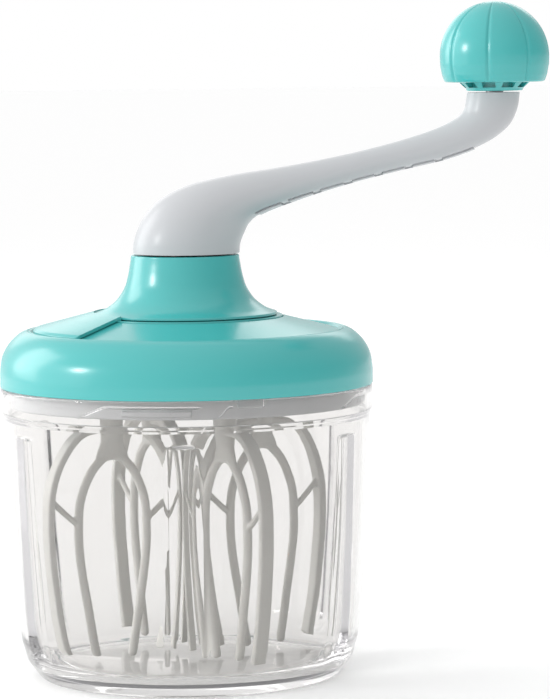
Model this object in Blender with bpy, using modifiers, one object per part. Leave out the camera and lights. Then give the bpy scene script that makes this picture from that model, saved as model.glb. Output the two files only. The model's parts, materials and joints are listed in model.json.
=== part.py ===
"""Hand-crank egg beater: a clear beaker, a geared lid with four flat whisks, and a cranked handle with a knob.

The frame has its origin at the centre of the beaker's flat foot, +Z up, and the crank arm points along +X.
Run it with blender --background --python part.py, or from Blender's text editor.
Sizes below are in millimetres, and MM turns them into Blender's metres where a mesh is made.
"""

from math import acos, atan2, cos, pi, radians, sin, sqrt, tan

import bmesh
import bpy
from mathutils import Matrix, Vector

MM = 0.001
GAP = 0.3  # clearance between neighbouring pieces

# Beaker
FOOT_R = 49.0
FLOOR_TOP = 4.7
RIM_TOP = 99.0
RIM_R = 63.4
RIM_BORE_R = 61.2
RIM_BAND_Z = 89.5
WALL = 2.2
FLUTE_ANGLES = (-150.0, -90.0, -30.0, 30.0, 90.0, 150.0)
FLUTE_TOOL_R = 13.0  # the round tool that leaves a flute about 10 mm wide
FLUTE_DEPTH = 1.0
RIB_SPAN = (-114.0, -78.0)  # bayonet rib at the front, degrees about Z, repeated every quarter turn
RIB_Z = (96.2, 97.6)
NOTCH_SPAN = (-73.4, -64.8)  # mark on the rim where the lid goes in

# Lid
LID_R = 63.6
LID_EDGE_Z = RIM_TOP + GAP
BASE_Z = (92.9, 95.4)  # gearbox base plate, underside and top
BASE_R = 60.0
BASE_WALL_TOP = 103.6
LUG_SPAN = (-109.0, -87.0)
LUG_Z = (94.0, 95.9)
TRACK_R = (33.3, 52.6)  # annulus that the shutter slides over
TRACK_EDGE_Z = 117.2
TRACK_SLOPE = 0.26
LAND_Z = 122.6  # seat of the neck tower on the dome
LAND_R = (20.0, 27.0)
GROOVE_FLOOR_Z = 121.4
NECK_FOOT_R = 31.1
NECK_TOP = 143.3
PORT_ANGLE = 180.0
PORT_HALF_ANGLE = 27.5
PORT_R = (43.5, 51.6)
CHUTE_WALL = 1.6
SHUTTER_SPAN = (138.0, 228.0)
LID_SCREW_R = 50.0
NECK_SCREW_R = 22.8
SCREW_R = 1.5
HOLE_R = SCREW_R + GAP

# Gear train: an internal ring gear drives four pinions
MODULE = 1.0
RING_TEETH = 72
PINION_TEETH = 15
PRESSURE_ANGLE = radians(20.0)
BACKLASH = 0.36
ADDENDUM = 0.7
DEDENDUM = 1.0
RING_PITCH_R = MODULE * RING_TEETH / 2
PINION_PITCH_R = MODULE * PINION_TEETH / 2
WHISK_CIRCLE_R = RING_PITCH_R - PINION_PITCH_R
WHISK_ANGLES = (207.5, 297.5, 27.5, 117.5)
RING_OUTER_R = 39.6
RING_Z = (97.4, 106.4)
DISC_TOP = 109.0
DISC_R = 40.2
PINION_Z = (97.6, 105.2)
SPINDLE_R = 2.2
SPINDLE_Z = (86.0, 105.8)

# Crank
SHAFT_R = 6.0
JOURNAL_R = 5.0
FLAT_HALF = 4.5  # half the distance across the shaft's two flats
SHAFT_Z = (95.6, 157.0)
JOURNAL_TOP = 103.3
HUB_BOTTOM = 143.9
KNOB_X = 105.7
POST_TOP = 197.6
KNOB_R = 18.8
KNOB_CENTRE_Z = 209.6
KNOB_BOTTOM = 201.2
PIN_R = 3.0

# Whisk, in its own upright plane
STEM_R = 3.9
STEM_TOP = 91.6
WHISK_TWIST = 5.5  # degrees that each whisk's plane is turned from the radial line
OUTER_STRIP = (2.4, 5.0)  # thickness in the plane, width across it
INNER_ROD = (2.8, 2.8)


# ---------------------------------------------------------------- scene and materials


def clear_scene():
    for obj in list(bpy.data.objects):
        bpy.data.objects.remove(obj, do_unlink=True)
    for collection in list(bpy.data.collections):
        bpy.data.collections.remove(collection)


def new_collection(name):
    collection = bpy.data.collections.new(name)
    bpy.context.scene.collection.children.link(collection)
    return collection


def srgb(code):
    """A hex colour as the linear RGBA that shaders take."""
    parts = [int(code[i : i + 2], 16) / 255 for i in (0, 2, 4)]
    linear = [p / 12.92 if p <= 0.04045 else ((p + 0.055) / 1.055) ** 2.4 for p in parts]
    return (*linear, 1.0)


LOOKS = {
    "clear_plastic": ("F2F4F4", 0.06, 0.0, 0.3),
    "teal_plastic": ("5BC0BC", 0.28, 0.0, 1.0),
    "grey_plastic": ("C6CACC", 0.32, 0.0, 1.0),
    "whisk_nylon": ("BCBCBA", 0.4, 0.0, 1.0),
    "white_acetal": ("ECEBE6", 0.38, 0.0, 1.0),
    "steel": ("B8B9BB", 0.3, 1.0, 1.0),
}


def paint(obj, look):
    """Gives the object its own material of one of the plastics or metals above."""
    code, roughness, metallic, alpha = LOOKS[look]
    material = bpy.data.materials.new(f"{obj.name}_{look}")
    material.use_nodes = True
    shader = material.node_tree.nodes["Principled BSDF"]
    shader.inputs["Base Color"].default_value = srgb(code)
    shader.inputs["Roughness"].default_value = roughness
    shader.inputs["Metallic"].default_value = metallic
    shader.inputs["Alpha"].default_value = alpha
    material.diffuse_color = (*srgb(code)[:3], alpha)
    obj.data.materials.clear()
    obj.data.materials.append(material)


# ---------------------------------------------------------------- modelling tools


def add_object(name, mesh, collection):
    obj = bpy.data.objects.new(name, mesh)
    collection.objects.link(obj)
    return obj


def smooth(obj, angle=32.0):
    obj.data.shade_smooth()
    obj.data.set_sharp_from_angle(angle=radians(angle))


def turned(name, profile, collection, steps=40, closed=False):
    """A solid of revolution about local Z. The profile, (radius, height) pairs, runs down its outer side."""
    mesh = bpy.data.meshes.new(name)
    points = [(r * MM, 0.0, z * MM) for r, z in profile]
    edges = [(i, i + 1) for i in range(len(points) - 1)]
    if closed:
        edges.append((len(points) - 1, 0))
    mesh.from_pydata(points, edges, [])
    obj = add_object(name, mesh, collection)
    screw = obj.modifiers.new("Turn", "SCREW")
    screw.axis = "Z"
    screw.angle = 2 * pi
    screw.steps = steps
    screw.render_steps = steps
    screw.use_merge_vertices = True
    screw.merge_threshold = 1e-6
    return obj


def extruded(name, outlines, low, high, collection, upright=False):
    """A flat outline, with holes if more than one is given, extruded from low to high.

    The extrusion runs along Z, or along Y when the outline stands upright in the XZ plane.
    """
    curve = bpy.data.curves.new(name, "CURVE")
    curve.dimensions = "2D"
    curve.fill_mode = "BOTH"
    curve.extrude = (high - low) / 2 * MM
    for outline in outlines:
        spline = curve.splines.new("POLY")
        spline.points.add(len(outline) - 1)
        spline.use_cyclic_u = True
        for point, (a, b) in zip(spline.points, outline):
            point.co = (a * MM, b * MM, 0.0, 1.0)
    source = add_object(name + "_outline", curve, collection)
    bpy.context.view_layer.update()
    graph = bpy.context.evaluated_depsgraph_get()
    mesh = bpy.data.meshes.new_from_object(source.evaluated_get(graph))
    bpy.data.objects.remove(source)
    bpy.data.curves.remove(curve)
    middle = (low + high) / 2 * MM
    if upright:
        mesh.transform(Matrix.Translation((0.0, middle, 0.0)) @ Matrix.Rotation(pi / 2, 4, "X"))
    else:
        mesh.transform(Matrix.Translation((0.0, 0.0, middle)))
    work = bmesh.new()
    work.from_mesh(mesh)
    bmesh.ops.remove_doubles(work, verts=work.verts, dist=1e-6)
    bmesh.ops.recalc_face_normals(work, faces=work.faces)
    work.to_mesh(mesh)
    work.free()
    mesh.name = name
    return add_object(name, mesh, collection)


def polar(radius, degrees):
    return radius * cos(radians(degrees)), radius * sin(radians(degrees))


def circle(radius, count):
    return [polar(radius, 360.0 * i / count) for i in range(count)]


def sector(name, radii, span, heights, collection, steps=8):
    """An arc-shaped block between two radii, two angles and two heights."""
    angles = [span[0] + (span[1] - span[0]) * i / steps for i in range(steps + 1)]
    outline = [polar(radii[1], a) for a in angles] + [polar(radii[0], a) for a in reversed(angles)]
    return extruded(name, [outline], heights[0], heights[1], collection)


def primitive(name, collection):
    """Names the primitive just added and moves it to a collection."""
    obj = bpy.context.object
    obj.name = name
    obj.data.name = name
    for old in list(obj.users_collection):
        old.objects.unlink(obj)
    collection.objects.link(obj)
    return obj


def cylinder(name, radius, heights, collection, at=(0.0, 0.0), vertices=20):
    low, high = heights
    bpy.ops.mesh.primitive_cylinder_add(
        vertices=vertices,
        radius=radius * MM,
        depth=(high - low) * MM,
        location=(at[0] * MM, at[1] * MM, (low + high) / 2 * MM),
    )
    return primitive(name, collection)


def box(name, low, high, collection):
    centre = [(a + b) / 2 * MM for a, b in zip(low, high)]
    bpy.ops.mesh.primitive_cube_add(size=1.0, location=centre)
    obj = primitive(name, collection)
    obj.scale = [(b - a) * MM for a, b in zip(low, high)]
    bpy.ops.object.transform_apply(location=False, rotation=False, scale=True)
    return obj


def combine(obj, other, operation):
    """Cuts the other object from this one, or joins it on, with an exact Boolean."""
    other.hide_render = True
    other.display_type = "WIRE"
    modifier = obj.modifiers.new(f"{operation.title()} {other.name}", "BOOLEAN")
    modifier.operation = operation
    modifier.solver = "EXACT"
    modifier.object = other


def bake(obj):
    """Applies the modifiers, so that copies of the piece can share its mesh."""
    bpy.context.view_layer.update()
    graph = bpy.context.evaluated_depsgraph_get()
    mesh = bpy.data.meshes.new_from_object(obj.evaluated_get(graph))
    mesh.name = obj.name
    obj.modifiers.clear()
    obj.data = mesh


def smooth_path(points, per_span):
    """A Catmull-Rom curve through the points, with per_span steps between each pair."""
    padded = [points[0], *points, points[-1]]
    path = []
    for i in range(1, len(padded) - 2):
        p0, p1, p2, p3 = (Vector(p) for p in padded[i - 1 : i + 3])
        for step in range(per_span):
            t = step / per_span
            path.append(
                0.5
                * (
                    2 * p1
                    + (p2 - p0) * t
                    + (2 * p0 - 5 * p1 + 4 * p2 - p3) * t**2
                    + (3 * p1 - p0 - 3 * p2 + p3) * t**3
                )
            )
    return [*path, Vector(points[-1])]


def ribbon(path, width):
    """The outline of a strip of this width along a 2D path."""
    left, right = [], []
    for i, point in enumerate(path):
        before, after = path[max(i - 1, 0)], path[min(i + 1, len(path) - 1)]
        along = (after - before).normalized()
        across = Vector((-along.y, along.x)) * width / 2
        left.append(tuple(point + across))
        right.append(tuple(point - across))
    return left + right[::-1]


def loft(name, sections, collection, sides=24):
    """A skin over oval sections. Each is (first point, second point, half width), the points being the
    section's two ends in the XZ plane and the half width its reach along Y."""
    work = bmesh.new()
    rings = []
    for start, end, half in sections:
        a, b = Vector((start[0], 0.0, start[1])), Vector((end[0], 0.0, end[1]))
        centre, reach = (a + b) / 2, (a - b) / 2
        ring = []
        for i in range(sides):
            t = 2 * pi * i / sides
            ring.append(work.verts.new((centre + reach * cos(t) + Vector((0.0, half * sin(t), 0.0))) * MM))
        rings.append(ring)
    for lower, upper in zip(rings, rings[1:]):
        for i in range(sides):
            j = (i + 1) % sides
            work.faces.new((lower[i], lower[j], upper[j], upper[i]))
    work.faces.new(rings[0])
    work.faces.new(rings[-1][::-1])
    bmesh.ops.recalc_face_normals(work, faces=work.faces)
    mesh = bpy.data.meshes.new(name)
    work.to_mesh(mesh)
    work.free()
    return add_object(name, mesh, collection)


def track_z(radius):
    """Height of the lid's sloping annulus at this radius."""
    return TRACK_EDGE_Z + (TRACK_R[1] - radius) * TRACK_SLOPE


def quarter_turns(span):
    return [(span[0] + 90.0 * k, span[1] + 90.0 * k) for k in range(4)]


# ---------------------------------------------------------------- beaker


def make_cup(parts, cutters):
    """A clear beaker: flat foot, slightly tapered wall, plain rim band, six flutes and bayonet ribs inside the rim."""
    inner = [(0.0, FLOOR_TOP), (46.0, FLOOR_TOP), (50.4, 5.7), (53.4, 8.6), (55.2, 13.0), (56.6, 21.0)]
    inner += [(58.6, 50.0), (60.1, 87.6), (RIM_BORE_R, RIM_BAND_Z), (RIM_BORE_R, RIM_TOP)]
    outer = [(RIM_R, RIM_TOP), (RIM_R, RIM_BAND_Z), (62.4, 88.2), (60.8, 50.0), (58.8, 21.0), (57.6, 12.6)]
    outer += [(56.5, 8.4), (54.6, 4.2), (52.3, 1.6), (FOOT_R, 0.0), (0.0, 0.0)]
    cup = turned("cup", inner + outer, parts, steps=40)
    lean = atan2(62.4 - 58.8, 88.2 - 21.0)
    for number, angle in enumerate(FLUTE_ANGLES, 1):
        flute = cylinder(f"cut_flute_{number}", FLUTE_TOOL_R, (-37.0, 37.0), cutters, vertices=32)
        x, y = polar(60.5 + FLUTE_TOOL_R - FLUTE_DEPTH, angle)
        flute.location = (x * MM, y * MM, 45.0 * MM)
        flute.rotation_euler = (0.0, lean, radians(angle))
        combine(cup, flute, "DIFFERENCE")
    for number, span in enumerate(quarter_turns(RIB_SPAN), 1):
        rib = sector(f"cup_rib_{number}", (BASE_R + GAP, RIM_BORE_R + 0.5), span, RIB_Z, cutters, 6)
        combine(cup, rib, "UNION")
    notch_z = (RIM_TOP - 2.2, RIM_TOP + 1.0)
    notch = sector("cut_notch", (RIM_BORE_R + 1.2, RIM_R + 1.0), NOTCH_SPAN, notch_z, cutters, 2)
    combine(cup, notch, "DIFFERENCE")
    smooth(cup)
    paint(cup, "clear_plastic")


# ---------------------------------------------------------------- lid


def make_lid_dome(parts, cutters):
    """The teal cover: a shell with a sloping annulus, a filling port with its chute, and screw bosses inside."""
    top = [(LAND_R[0], LAND_Z), (LAND_R[1], LAND_Z), (LAND_R[1], GROOVE_FLOOR_Z), (TRACK_R[0], GROOVE_FLOOR_Z)]
    top += [(TRACK_R[0], track_z(TRACK_R[0])), (TRACK_R[1], TRACK_EDGE_Z), (TRACK_R[1] + 0.1, 118.1)]
    top += [(54.4, 118.0), (56.6, 116.9), (58.9, 114.9), (60.9, 112.6), (62.3, 110.4), (63.2, 108.0)]
    side = [(LID_R, 105.4), (LID_R, LID_EDGE_Z), (61.4, LID_EDGE_Z), (61.4, 105.0), (60.3, 108.6), (58.0, 112.0)]
    under = [(55.5, 114.4), (TRACK_R[1], TRACK_EDGE_Z - WALL), (34.5, track_z(34.5) - WALL)]
    under += [(33.3, GROOVE_FLOOR_Z - WALL), (27.5, GROOVE_FLOOR_Z - WALL), (26.5, 120.2), (LAND_R[0], 120.2)]
    dome = turned("lid_dome", top + side + under, parts, steps=38, closed=True)
    walls = (PORT_ANGLE - PORT_HALF_ANGLE - 2.5, PORT_ANGLE + PORT_HALF_ANGLE + 2.5)
    foot = BASE_Z[1] + GAP
    inner_wall = sector("chute_inner", (PORT_R[0] - CHUTE_WALL, 47.0), walls, (foot, 118.3), cutters)
    outer_wall = sector("chute_outer", (46.0, PORT_R[1] + CHUTE_WALL), walls, (foot, 116.9), cutters)
    combine(dome, inner_wall, "UNION")
    combine(dome, outer_wall, "UNION")
    for number in range(4):
        at = polar(LID_SCREW_R, 45.0 + 90.0 * number)
        combine(dome, cylinder(f"boss_{number + 1}", 3.4, (foot, 117.0), cutters, at, 16), "UNION")
        combine(dome, cylinder(f"cut_boss_{number + 1}", HOLE_R, (foot - 1.0, 107.0), cutters, at, 12), "DIFFERENCE")
    for number in range(3):
        at = polar(NECK_SCREW_R, 60.0 + 120.0 * number)
        hole = cylinder(f"cut_land_{number + 1}", HOLE_R, (119.0, 124.0), cutters, at, 12)
        combine(dome, hole, "DIFFERENCE")
    port_span = (PORT_ANGLE - PORT_HALF_ANGLE, PORT_ANGLE + PORT_HALF_ANGLE)
    combine(dome, sector("cut_port", PORT_R, port_span, (90.0, 125.0), cutters), "DIFFERENCE")
    smooth(dome)
    paint(dome, "teal_plastic")


def make_neck_tower(parts, cutters):
    """The flared neck that carries the shaft's upper bush and holds the shutter's ring down."""
    outside = [(9.3, NECK_TOP), (18.4, NECK_TOP), (18.8, 141.0), (19.6, 136.7), (20.5, 132.7), (21.7, 130.4)]
    outside += [(23.3, 128.3), (25.4, 126.3), (28.0, 124.7), (NECK_FOOT_R, 123.7), (NECK_FOOT_R, LAND_Z + GAP)]
    inside = [(16.0, LAND_Z + GAP), (16.0, 138.5), (9.3, 138.5)]
    neck = turned("neck_tower", outside + inside, parts, steps=30, closed=True)
    for number in range(3):
        at = polar(NECK_SCREW_R, 60.0 + 120.0 * number)
        hole = cylinder(f"cut_neck_{number + 1}", HOLE_R, (121.0, 126.2), cutters, at, 12)
        combine(neck, hole, "DIFFERENCE")
    smooth(neck)
    paint(neck, "teal_plastic")


def make_port_shutter(parts, cutters):
    """A raised sector on a flat ring. The ring turns about the neck, so the sector slides off the port."""
    ring_top = LAND_Z
    ring_bottom = GROOVE_FLOOR_Z + GAP
    ring_r = (LAND_R[1] + GAP, TRACK_R[0] - GAP)
    ring = [(ring_r[0], ring_top), (ring_r[1], ring_top), (ring_r[1], ring_bottom), (ring_r[0], ring_bottom)]
    shutter = turned("port_shutter", ring, parts, steps=32, closed=True)
    inner, outer = NECK_FOOT_R + GAP, TRACK_R[1] - 2 * GAP
    plate = [(inner, track_z(inner) + 1.5), (outer - 0.8, track_z(outer) + 1.6), (outer, track_z(outer) + 1.0)]
    plate += [(outer, track_z(outer) + GAP), (ring_r[1], track_z(ring_r[1]) + GAP), (ring_r[1], 122.0), (inner, 122.0)]
    sheet = turned("shutter_sheet", plate, cutters, steps=48, closed=True)
    wedge = sector("shutter_wedge", (25.0, 56.0), SHUTTER_SPAN, (115.0, 128.0), cutters, 24)
    combine(sheet, wedge, "INTERSECT")
    combine(shutter, sheet, "UNION")
    smooth(shutter)
    paint(shutter, "teal_plastic")


def make_gearbox_base(parts, cutters):
    """The grey floor of the gearbox, whose skirt drops into the rim and locks under its ribs."""
    low, high = BASE_Z
    inside = [(0.0, 95.0), (8.3, 95.0), (8.3, 102.0), (11.0, 102.0), (11.0, high), (57.4, high)]
    outside = [(57.4, BASE_WALL_TOP), (BASE_R, BASE_WALL_TOP), (BASE_R, low), (0.0, low)]
    base = turned("gearbox_base", inside + outside, parts, steps=32)
    for number, span in enumerate(quarter_turns(LUG_SPAN), 1):
        lug = sector(f"base_lug_{number}", (BASE_R - 0.5, RIM_BORE_R - GAP), span, LUG_Z, cutters, 4)
        combine(base, lug, "UNION")
    for number, angle in enumerate(WHISK_ANGLES, 1):
        at = polar(WHISK_CIRCLE_R, angle)
        hole = cylinder(f"cut_spindle_{number}", 4.3, (low - 1.0, high + 1.0), cutters, at, 20)
        combine(base, hole, "DIFFERENCE")
    for number in range(4):
        at = polar(LID_SCREW_R, 45.0 + 90.0 * number)
        hole = cylinder(f"cut_screw_{number + 1}", HOLE_R, (low - 1.0, high + 1.0), cutters, at, 12)
        sink = cylinder(f"cut_head_{number + 1}", 3.3, (low - 1.0, low + 1.4), cutters, at, 16)
        combine(base, hole, "DIFFERENCE")
        combine(base, sink, "DIFFERENCE")
    span = (PORT_ANGLE - PORT_HALF_ANGLE - 1.5, PORT_ANGLE + PORT_HALF_ANGLE + 1.5)
    outlet = sector("cut_outlet", (PORT_R[0] - 0.8, PORT_R[1] + 0.8), span, (low - 1.0, high + 1.0), cutters)
    combine(base, outlet, "DIFFERENCE")
    smooth(base)
    paint(base, "grey_plastic")


def flanged_bush(name, bore, body_r, flange_r, body, flange, parts, flange_on_top=True, steps=20):
    """A plain bearing with one flange. body and flange are (low, high) heights that share an end."""
    if flange_on_top:
        profile = [(bore, flange[1]), (flange_r, flange[1]), (flange_r, flange[0]), (body_r, flange[0])]
        profile += [(body_r, body[0]), (bore, body[0])]
    else:
        profile = [(bore, body[1]), (body_r, body[1]), (body_r, flange[1]), (flange_r, flange[1])]
        profile += [(flange_r, flange[0]), (bore, flange[0])]
    bush = turned(name, profile, parts, steps=steps, closed=True)
    smooth(bush)
    paint(bush, "white_acetal")
    return bush


def washer(name, bore, radius, heights, look, parts, steps=20):
    low, high = heights
    ring = turned(name, [(bore, high), (radius, high), (radius, low), (bore, low)], parts, steps, closed=True)
    smooth(ring)
    paint(ring, look)
    return ring


def screw(name, at, head_r, head, shank, parts, shank_r=SCREW_R):
    """A pan-head screw standing on its head: head and shank are (low, high) heights."""
    profile = [(0.0, shank[1]), (shank_r, shank[1] - 0.8), (shank_r, shank[0]), (head_r, head[1])]
    profile += [(head_r, head[0] + 0.4), (head_r - 0.6, head[0]), (0.0, head[0])]
    bolt = turned(name, profile, parts, steps=8)
    bolt.location = (at[0] * MM, at[1] * MM, 0.0)
    smooth(bolt)
    paint(bolt, "steel")
    return bolt


def make_lid_fittings(parts):
    """Bushes, washers and screws of the lid."""
    flanged_bush("upper_bush", SHAFT_R + GAP, 9.0, 12.0, (138.2, 143.0), (136.9, 138.2), parts, False, 24)
    bore = JOURNAL_R + GAP
    profile = [(bore, 101.9), (8.0, 101.9), (8.0, 95.3), (bore, 95.3)]
    lower = turned("lower_bush", profile, parts, steps=24, closed=True)
    smooth(lower)
    paint(lower, "white_acetal")
    for number in range(4):
        at = polar(LID_SCREW_R, 45.0 + 90.0 * number)
        screw(f"lid_screw_{number + 1}", at, 3.0, (BASE_Z[0], 94.0), (94.0, 106.0), parts)
    for number in range(3):
        at = polar(NECK_SCREW_R, 60.0 + 120.0 * number)
        screw(f"neck_screw_{number + 1}", at, 2.6, (118.5, 119.9), (119.9, 125.8), parts)


# ---------------------------------------------------------------- gear train


def involute_half_angle(radius, pitch_r, teeth, extra):
    """Half the angle that an external tooth spans at this radius. extra widens or narrows it at the pitch circle."""
    base_r = pitch_r * cos(PRESSURE_ANGLE)
    pressure = acos(min(1.0, base_r / max(radius, base_r)))
    involute_pitch = tan(PRESSURE_ANGLE) - PRESSURE_ANGLE
    involute = tan(pressure) - pressure
    return pi / (2 * teeth) + extra / pitch_r + involute_pitch - involute


def tooth_outline(teeth, pitch_r, root_r, tip_r, extra, phase, flank_steps):
    """The outline of a toothed wheel with a tooth centred at phase."""
    radii = [root_r + (tip_r - root_r) * i / flank_steps for i in range(flank_steps + 1)]
    outline = []
    for number in range(teeth):
        centre = phase + 2 * pi * number / teeth
        rising = [(r, centre - involute_half_angle(r, pitch_r, teeth, extra)) for r in radii]
        falling = [(r, centre + involute_half_angle(r, pitch_r, teeth, extra)) for r in reversed(radii)]
        outline += [(r * cos(a), r * sin(a)) for r, a in rising + falling]
    return outline


def make_drive_wheel(parts, cutters):
    """A disc on the shaft with an internal ring gear on its rim. The ring's gaps have the shape of an
    external wheel's teeth, and one gap is centred on each whisk axis."""
    phase = radians(WHISK_ANGLES[2])
    gaps = tooth_outline(
        RING_TEETH, RING_PITCH_R, RING_PITCH_R - ADDENDUM, RING_PITCH_R + DEDENDUM, BACKLASH / 4, phase, 1
    )
    wheel = extruded("drive_wheel", [circle(RING_OUTER_R, 48), gaps], RING_Z[0], RING_Z[1], parts)
    disc_bottom = RING_Z[1] - 0.4
    profile = [(0.0, 116.5), (9.5, 116.5), (9.5, DISC_TOP), (DISC_R - 1.0, DISC_TOP), (DISC_R, 108.2)]
    profile += [(DISC_R, disc_bottom), (9.5, disc_bottom), (9.5, 103.6), (0.0, 103.6)]
    hub = turned("wheel_hub", profile, cutters, steps=40)
    combine(wheel, hub, "UNION")
    bore = extruded("cut_wheel_bore", [double_d(SHAFT_R + GAP, FLAT_HALF + GAP)], 102.0, 118.0, cutters)
    combine(wheel, bore, "DIFFERENCE")
    smooth(wheel, 25.0)
    paint(wheel, "white_acetal")


def make_whisk_drives(parts):
    """Four pinions, each on a steel spindle that turns in a bush in the gearbox base."""
    for number, angle in enumerate(WHISK_ANGLES, 1):
        x, y = polar(WHISK_CIRCLE_R, angle)
        place = (x * MM, y * MM, 0.0)
        teeth = tooth_outline(
            PINION_TEETH,
            PINION_PITCH_R,
            PINION_PITCH_R - DEDENDUM,
            PINION_PITCH_R + ADDENDUM + 0.1,
            -BACKLASH / 4,
            radians(angle),
            1,
        )
        hole = circle(SPINDLE_R + GAP, 12)
        pinion = extruded(f"pinion_{number}", [teeth, hole], PINION_Z[0], PINION_Z[1], parts)
        spindle = cylinder(f"spindle_{number}", SPINDLE_R, SPINDLE_Z, parts, vertices=12)
        spindle.data.transform(spindle.matrix_basis)
        bush = flanged_bush(
            f"spindle_bush_{number}", SPINDLE_R + GAP, 4.0, 6.0, (BASE_Z[0], 95.7), (95.7, 97.2), parts, steps=12
        )
        clip = washer(f"spindle_washer_{number}", SPINDLE_R + GAP, 3.7, (91.9, 92.6), "steel", parts, 12)
        for piece in (pinion, spindle, bush, clip):
            piece.location = place
        smooth(pinion, 25.0)
        paint(pinion, "white_acetal")
        smooth(spindle)
        paint(spindle, "steel")


# ---------------------------------------------------------------- whisks


def make_whisks(parts, cutters):
    """One flat whisk: a stem, an outer arch of flat strip, an inner fork of round rod, and a brace on each side.
    Four copies share its mesh."""
    outer = [(4.0, 84.3), (10.0, 83.2), (16.6, 78.4), (22.0, 70.3), (24.0, 61.0), (24.1, 50.0), (22.0, 28.0)]
    outer.append((18.4, 9.0))
    inner = [(0.0, 76.2), (4.6, 75.0), (9.6, 69.0), (12.7, 60.3), (13.1, 48.0), (10.1, 28.0), (7.0, 9.0)]
    outer_path = smooth_path(outer, 2)
    outer_path = [Vector((-p.x, p.y)) for p in reversed(outer_path)] + outer_path
    inner_path = smooth_path(inner, 2)
    inner_path = [Vector((-p.x, p.y)) for p in reversed(inner_path[1:])] + inner_path
    thickness, width = OUTER_STRIP
    rod, depth = INNER_ROD
    whisk = extruded("whisk_1", [ribbon(outer_path, thickness)], -width / 2, width / 2, parts, upright=True)
    fork = extruded("whisk_fork", [ribbon(inner_path, rod)], -depth / 2, depth / 2, cutters, upright=True)
    web = [(-STEM_R, 88.0), (-STEM_R, 80.6), (-7.4, 74.6), (0.0, 75.2), (7.4, 74.6), (STEM_R, 80.6), (STEM_R, 88.0)]
    plate = extruded("whisk_web", [web], -1.9, 1.9, cutters, upright=True)
    stem = cylinder("whisk_stem", STEM_R, (80.0, STEM_TOP), cutters, vertices=14)
    combine(whisk, stem, "UNION")
    combine(whisk, plate, "UNION")
    combine(whisk, fork, "UNION")
    for side in (-1.0, 1.0):
        path = [Vector((side * 13.6, 54.6)), Vector((side * 23.4, 62.0))]
        brace = extruded(f"whisk_brace_{side:+.0f}", [ribbon(path, 2.2)], -1.1, 1.1, cutters, upright=True)
        combine(whisk, brace, "UNION")
    socket = cylinder("cut_socket", SPINDLE_R + GAP, (SPINDLE_Z[0] - GAP, STEM_TOP + 1.0), cutters, vertices=12)
    combine(whisk, socket, "DIFFERENCE")
    bake(whisk)
    smooth(whisk)
    paint(whisk, "whisk_nylon")
    for number, angle in enumerate(WHISK_ANGLES, 1):
        copy = whisk if number == 1 else add_object(f"whisk_{number}", whisk.data, parts)
        x, y = polar(WHISK_CIRCLE_R, angle)
        copy.location = (x * MM, y * MM, 0.0)
        copy.rotation_euler = (0.0, 0.0, radians(angle + WHISK_TWIST))


# ---------------------------------------------------------------- crank


def double_d(radius, half):
    """A circle with two flats facing +Y and -Y."""
    reach = sqrt(radius**2 - half**2)
    turn = atan2(half, reach)
    right = [(radius * cos(a), radius * sin(a)) for a in (turn * (i / 3 - 1) for i in range(7))]
    left = [(-x, -y) for x, y in right]
    return right + left


def make_drive_shaft(parts, cutters):
    """The hollow shaft: a lower journal, flats for the wheel, an upper journal and flats for the crank hub."""
    low, high = SHAFT_Z
    profile = [(2.3, high), (SHAFT_R, high), (SHAFT_R, JOURNAL_TOP), (JOURNAL_R, JOURNAL_TOP), (JOURNAL_R, low)]
    profile += [(3.9, low), (3.9, 100.1), (2.3, 100.1)]
    shaft = turned("drive_shaft", profile, parts, steps=28, closed=True)
    for number, heights in enumerate(((JOURNAL_TOP - 0.4, 117.0), (HUB_BOTTOM, high + 1.0)), 1):
        for side in (-1, 1):
            near, far = sorted((side * FLAT_HALF, side * 8.0))
            cut = box(f"cut_flat_{number}_{side:+d}", (-8.0, near, heights[0]), (8.0, far, heights[1]), cutters)
            combine(shaft, cut, "DIFFERENCE")
    smooth(shaft)
    paint(shaft, "steel")
    washer("thrust_washer", JOURNAL_R + GAP, 9.0, (102.3, 103.3), "steel", parts, 24)
    washer("crank_washer", 2.3, 3.5, (99.3, 99.8), "steel", parts, 12)
    screw("crank_screw", (0.0, 0.0), 3.4, (96.4, 99.0), (99.0, 163.0), parts, shank_r=1.9)


# Oval sections of the arm from the hub to the knob post: the two ends in the XZ plane, and half the width along Y.
ARM_SECTIONS = (
    ((-18.2, HUB_BOTTOM), (18.6, HUB_BOTTOM), 18.3),
    ((-18.0, 147.5), (18.9, 147.0), 18.3),
    ((-16.9, 152.0), (20.2, 150.4), 17.9),
    ((-14.0, 157.5), (22.0, 153.8), 17.0),
    ((-8.6, 163.0), (25.0, 156.4), 15.6),
    ((1.5, 167.6), (29.5, 158.6), 13.8),
    ((15.5, 170.5), (35.6, 160.8), 11.6),
    ((29.0, 172.4), (42.6, 163.2), 9.8),
    ((43.0, 174.6), (49.8, 165.4), 8.6),
    ((58.2, 177.6), (60.9, 168.5), 7.9),
    ((72.4, 181.0), (75.2, 171.9), 7.7),
    ((84.4, 184.6), (90.2, 175.2), 8.2),
    ((91.6, 187.9), (102.6, 179.7), 8.9),
    ((95.0, 191.2), (110.6, 185.2), 9.2),
    ((95.9, 194.2), (114.0, 191.6), 9.3),
    ((96.4, POST_TOP), (115.0, POST_TOP), 9.3),
)
COVER_FIRST, COVER_LAST = 6, 12


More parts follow.
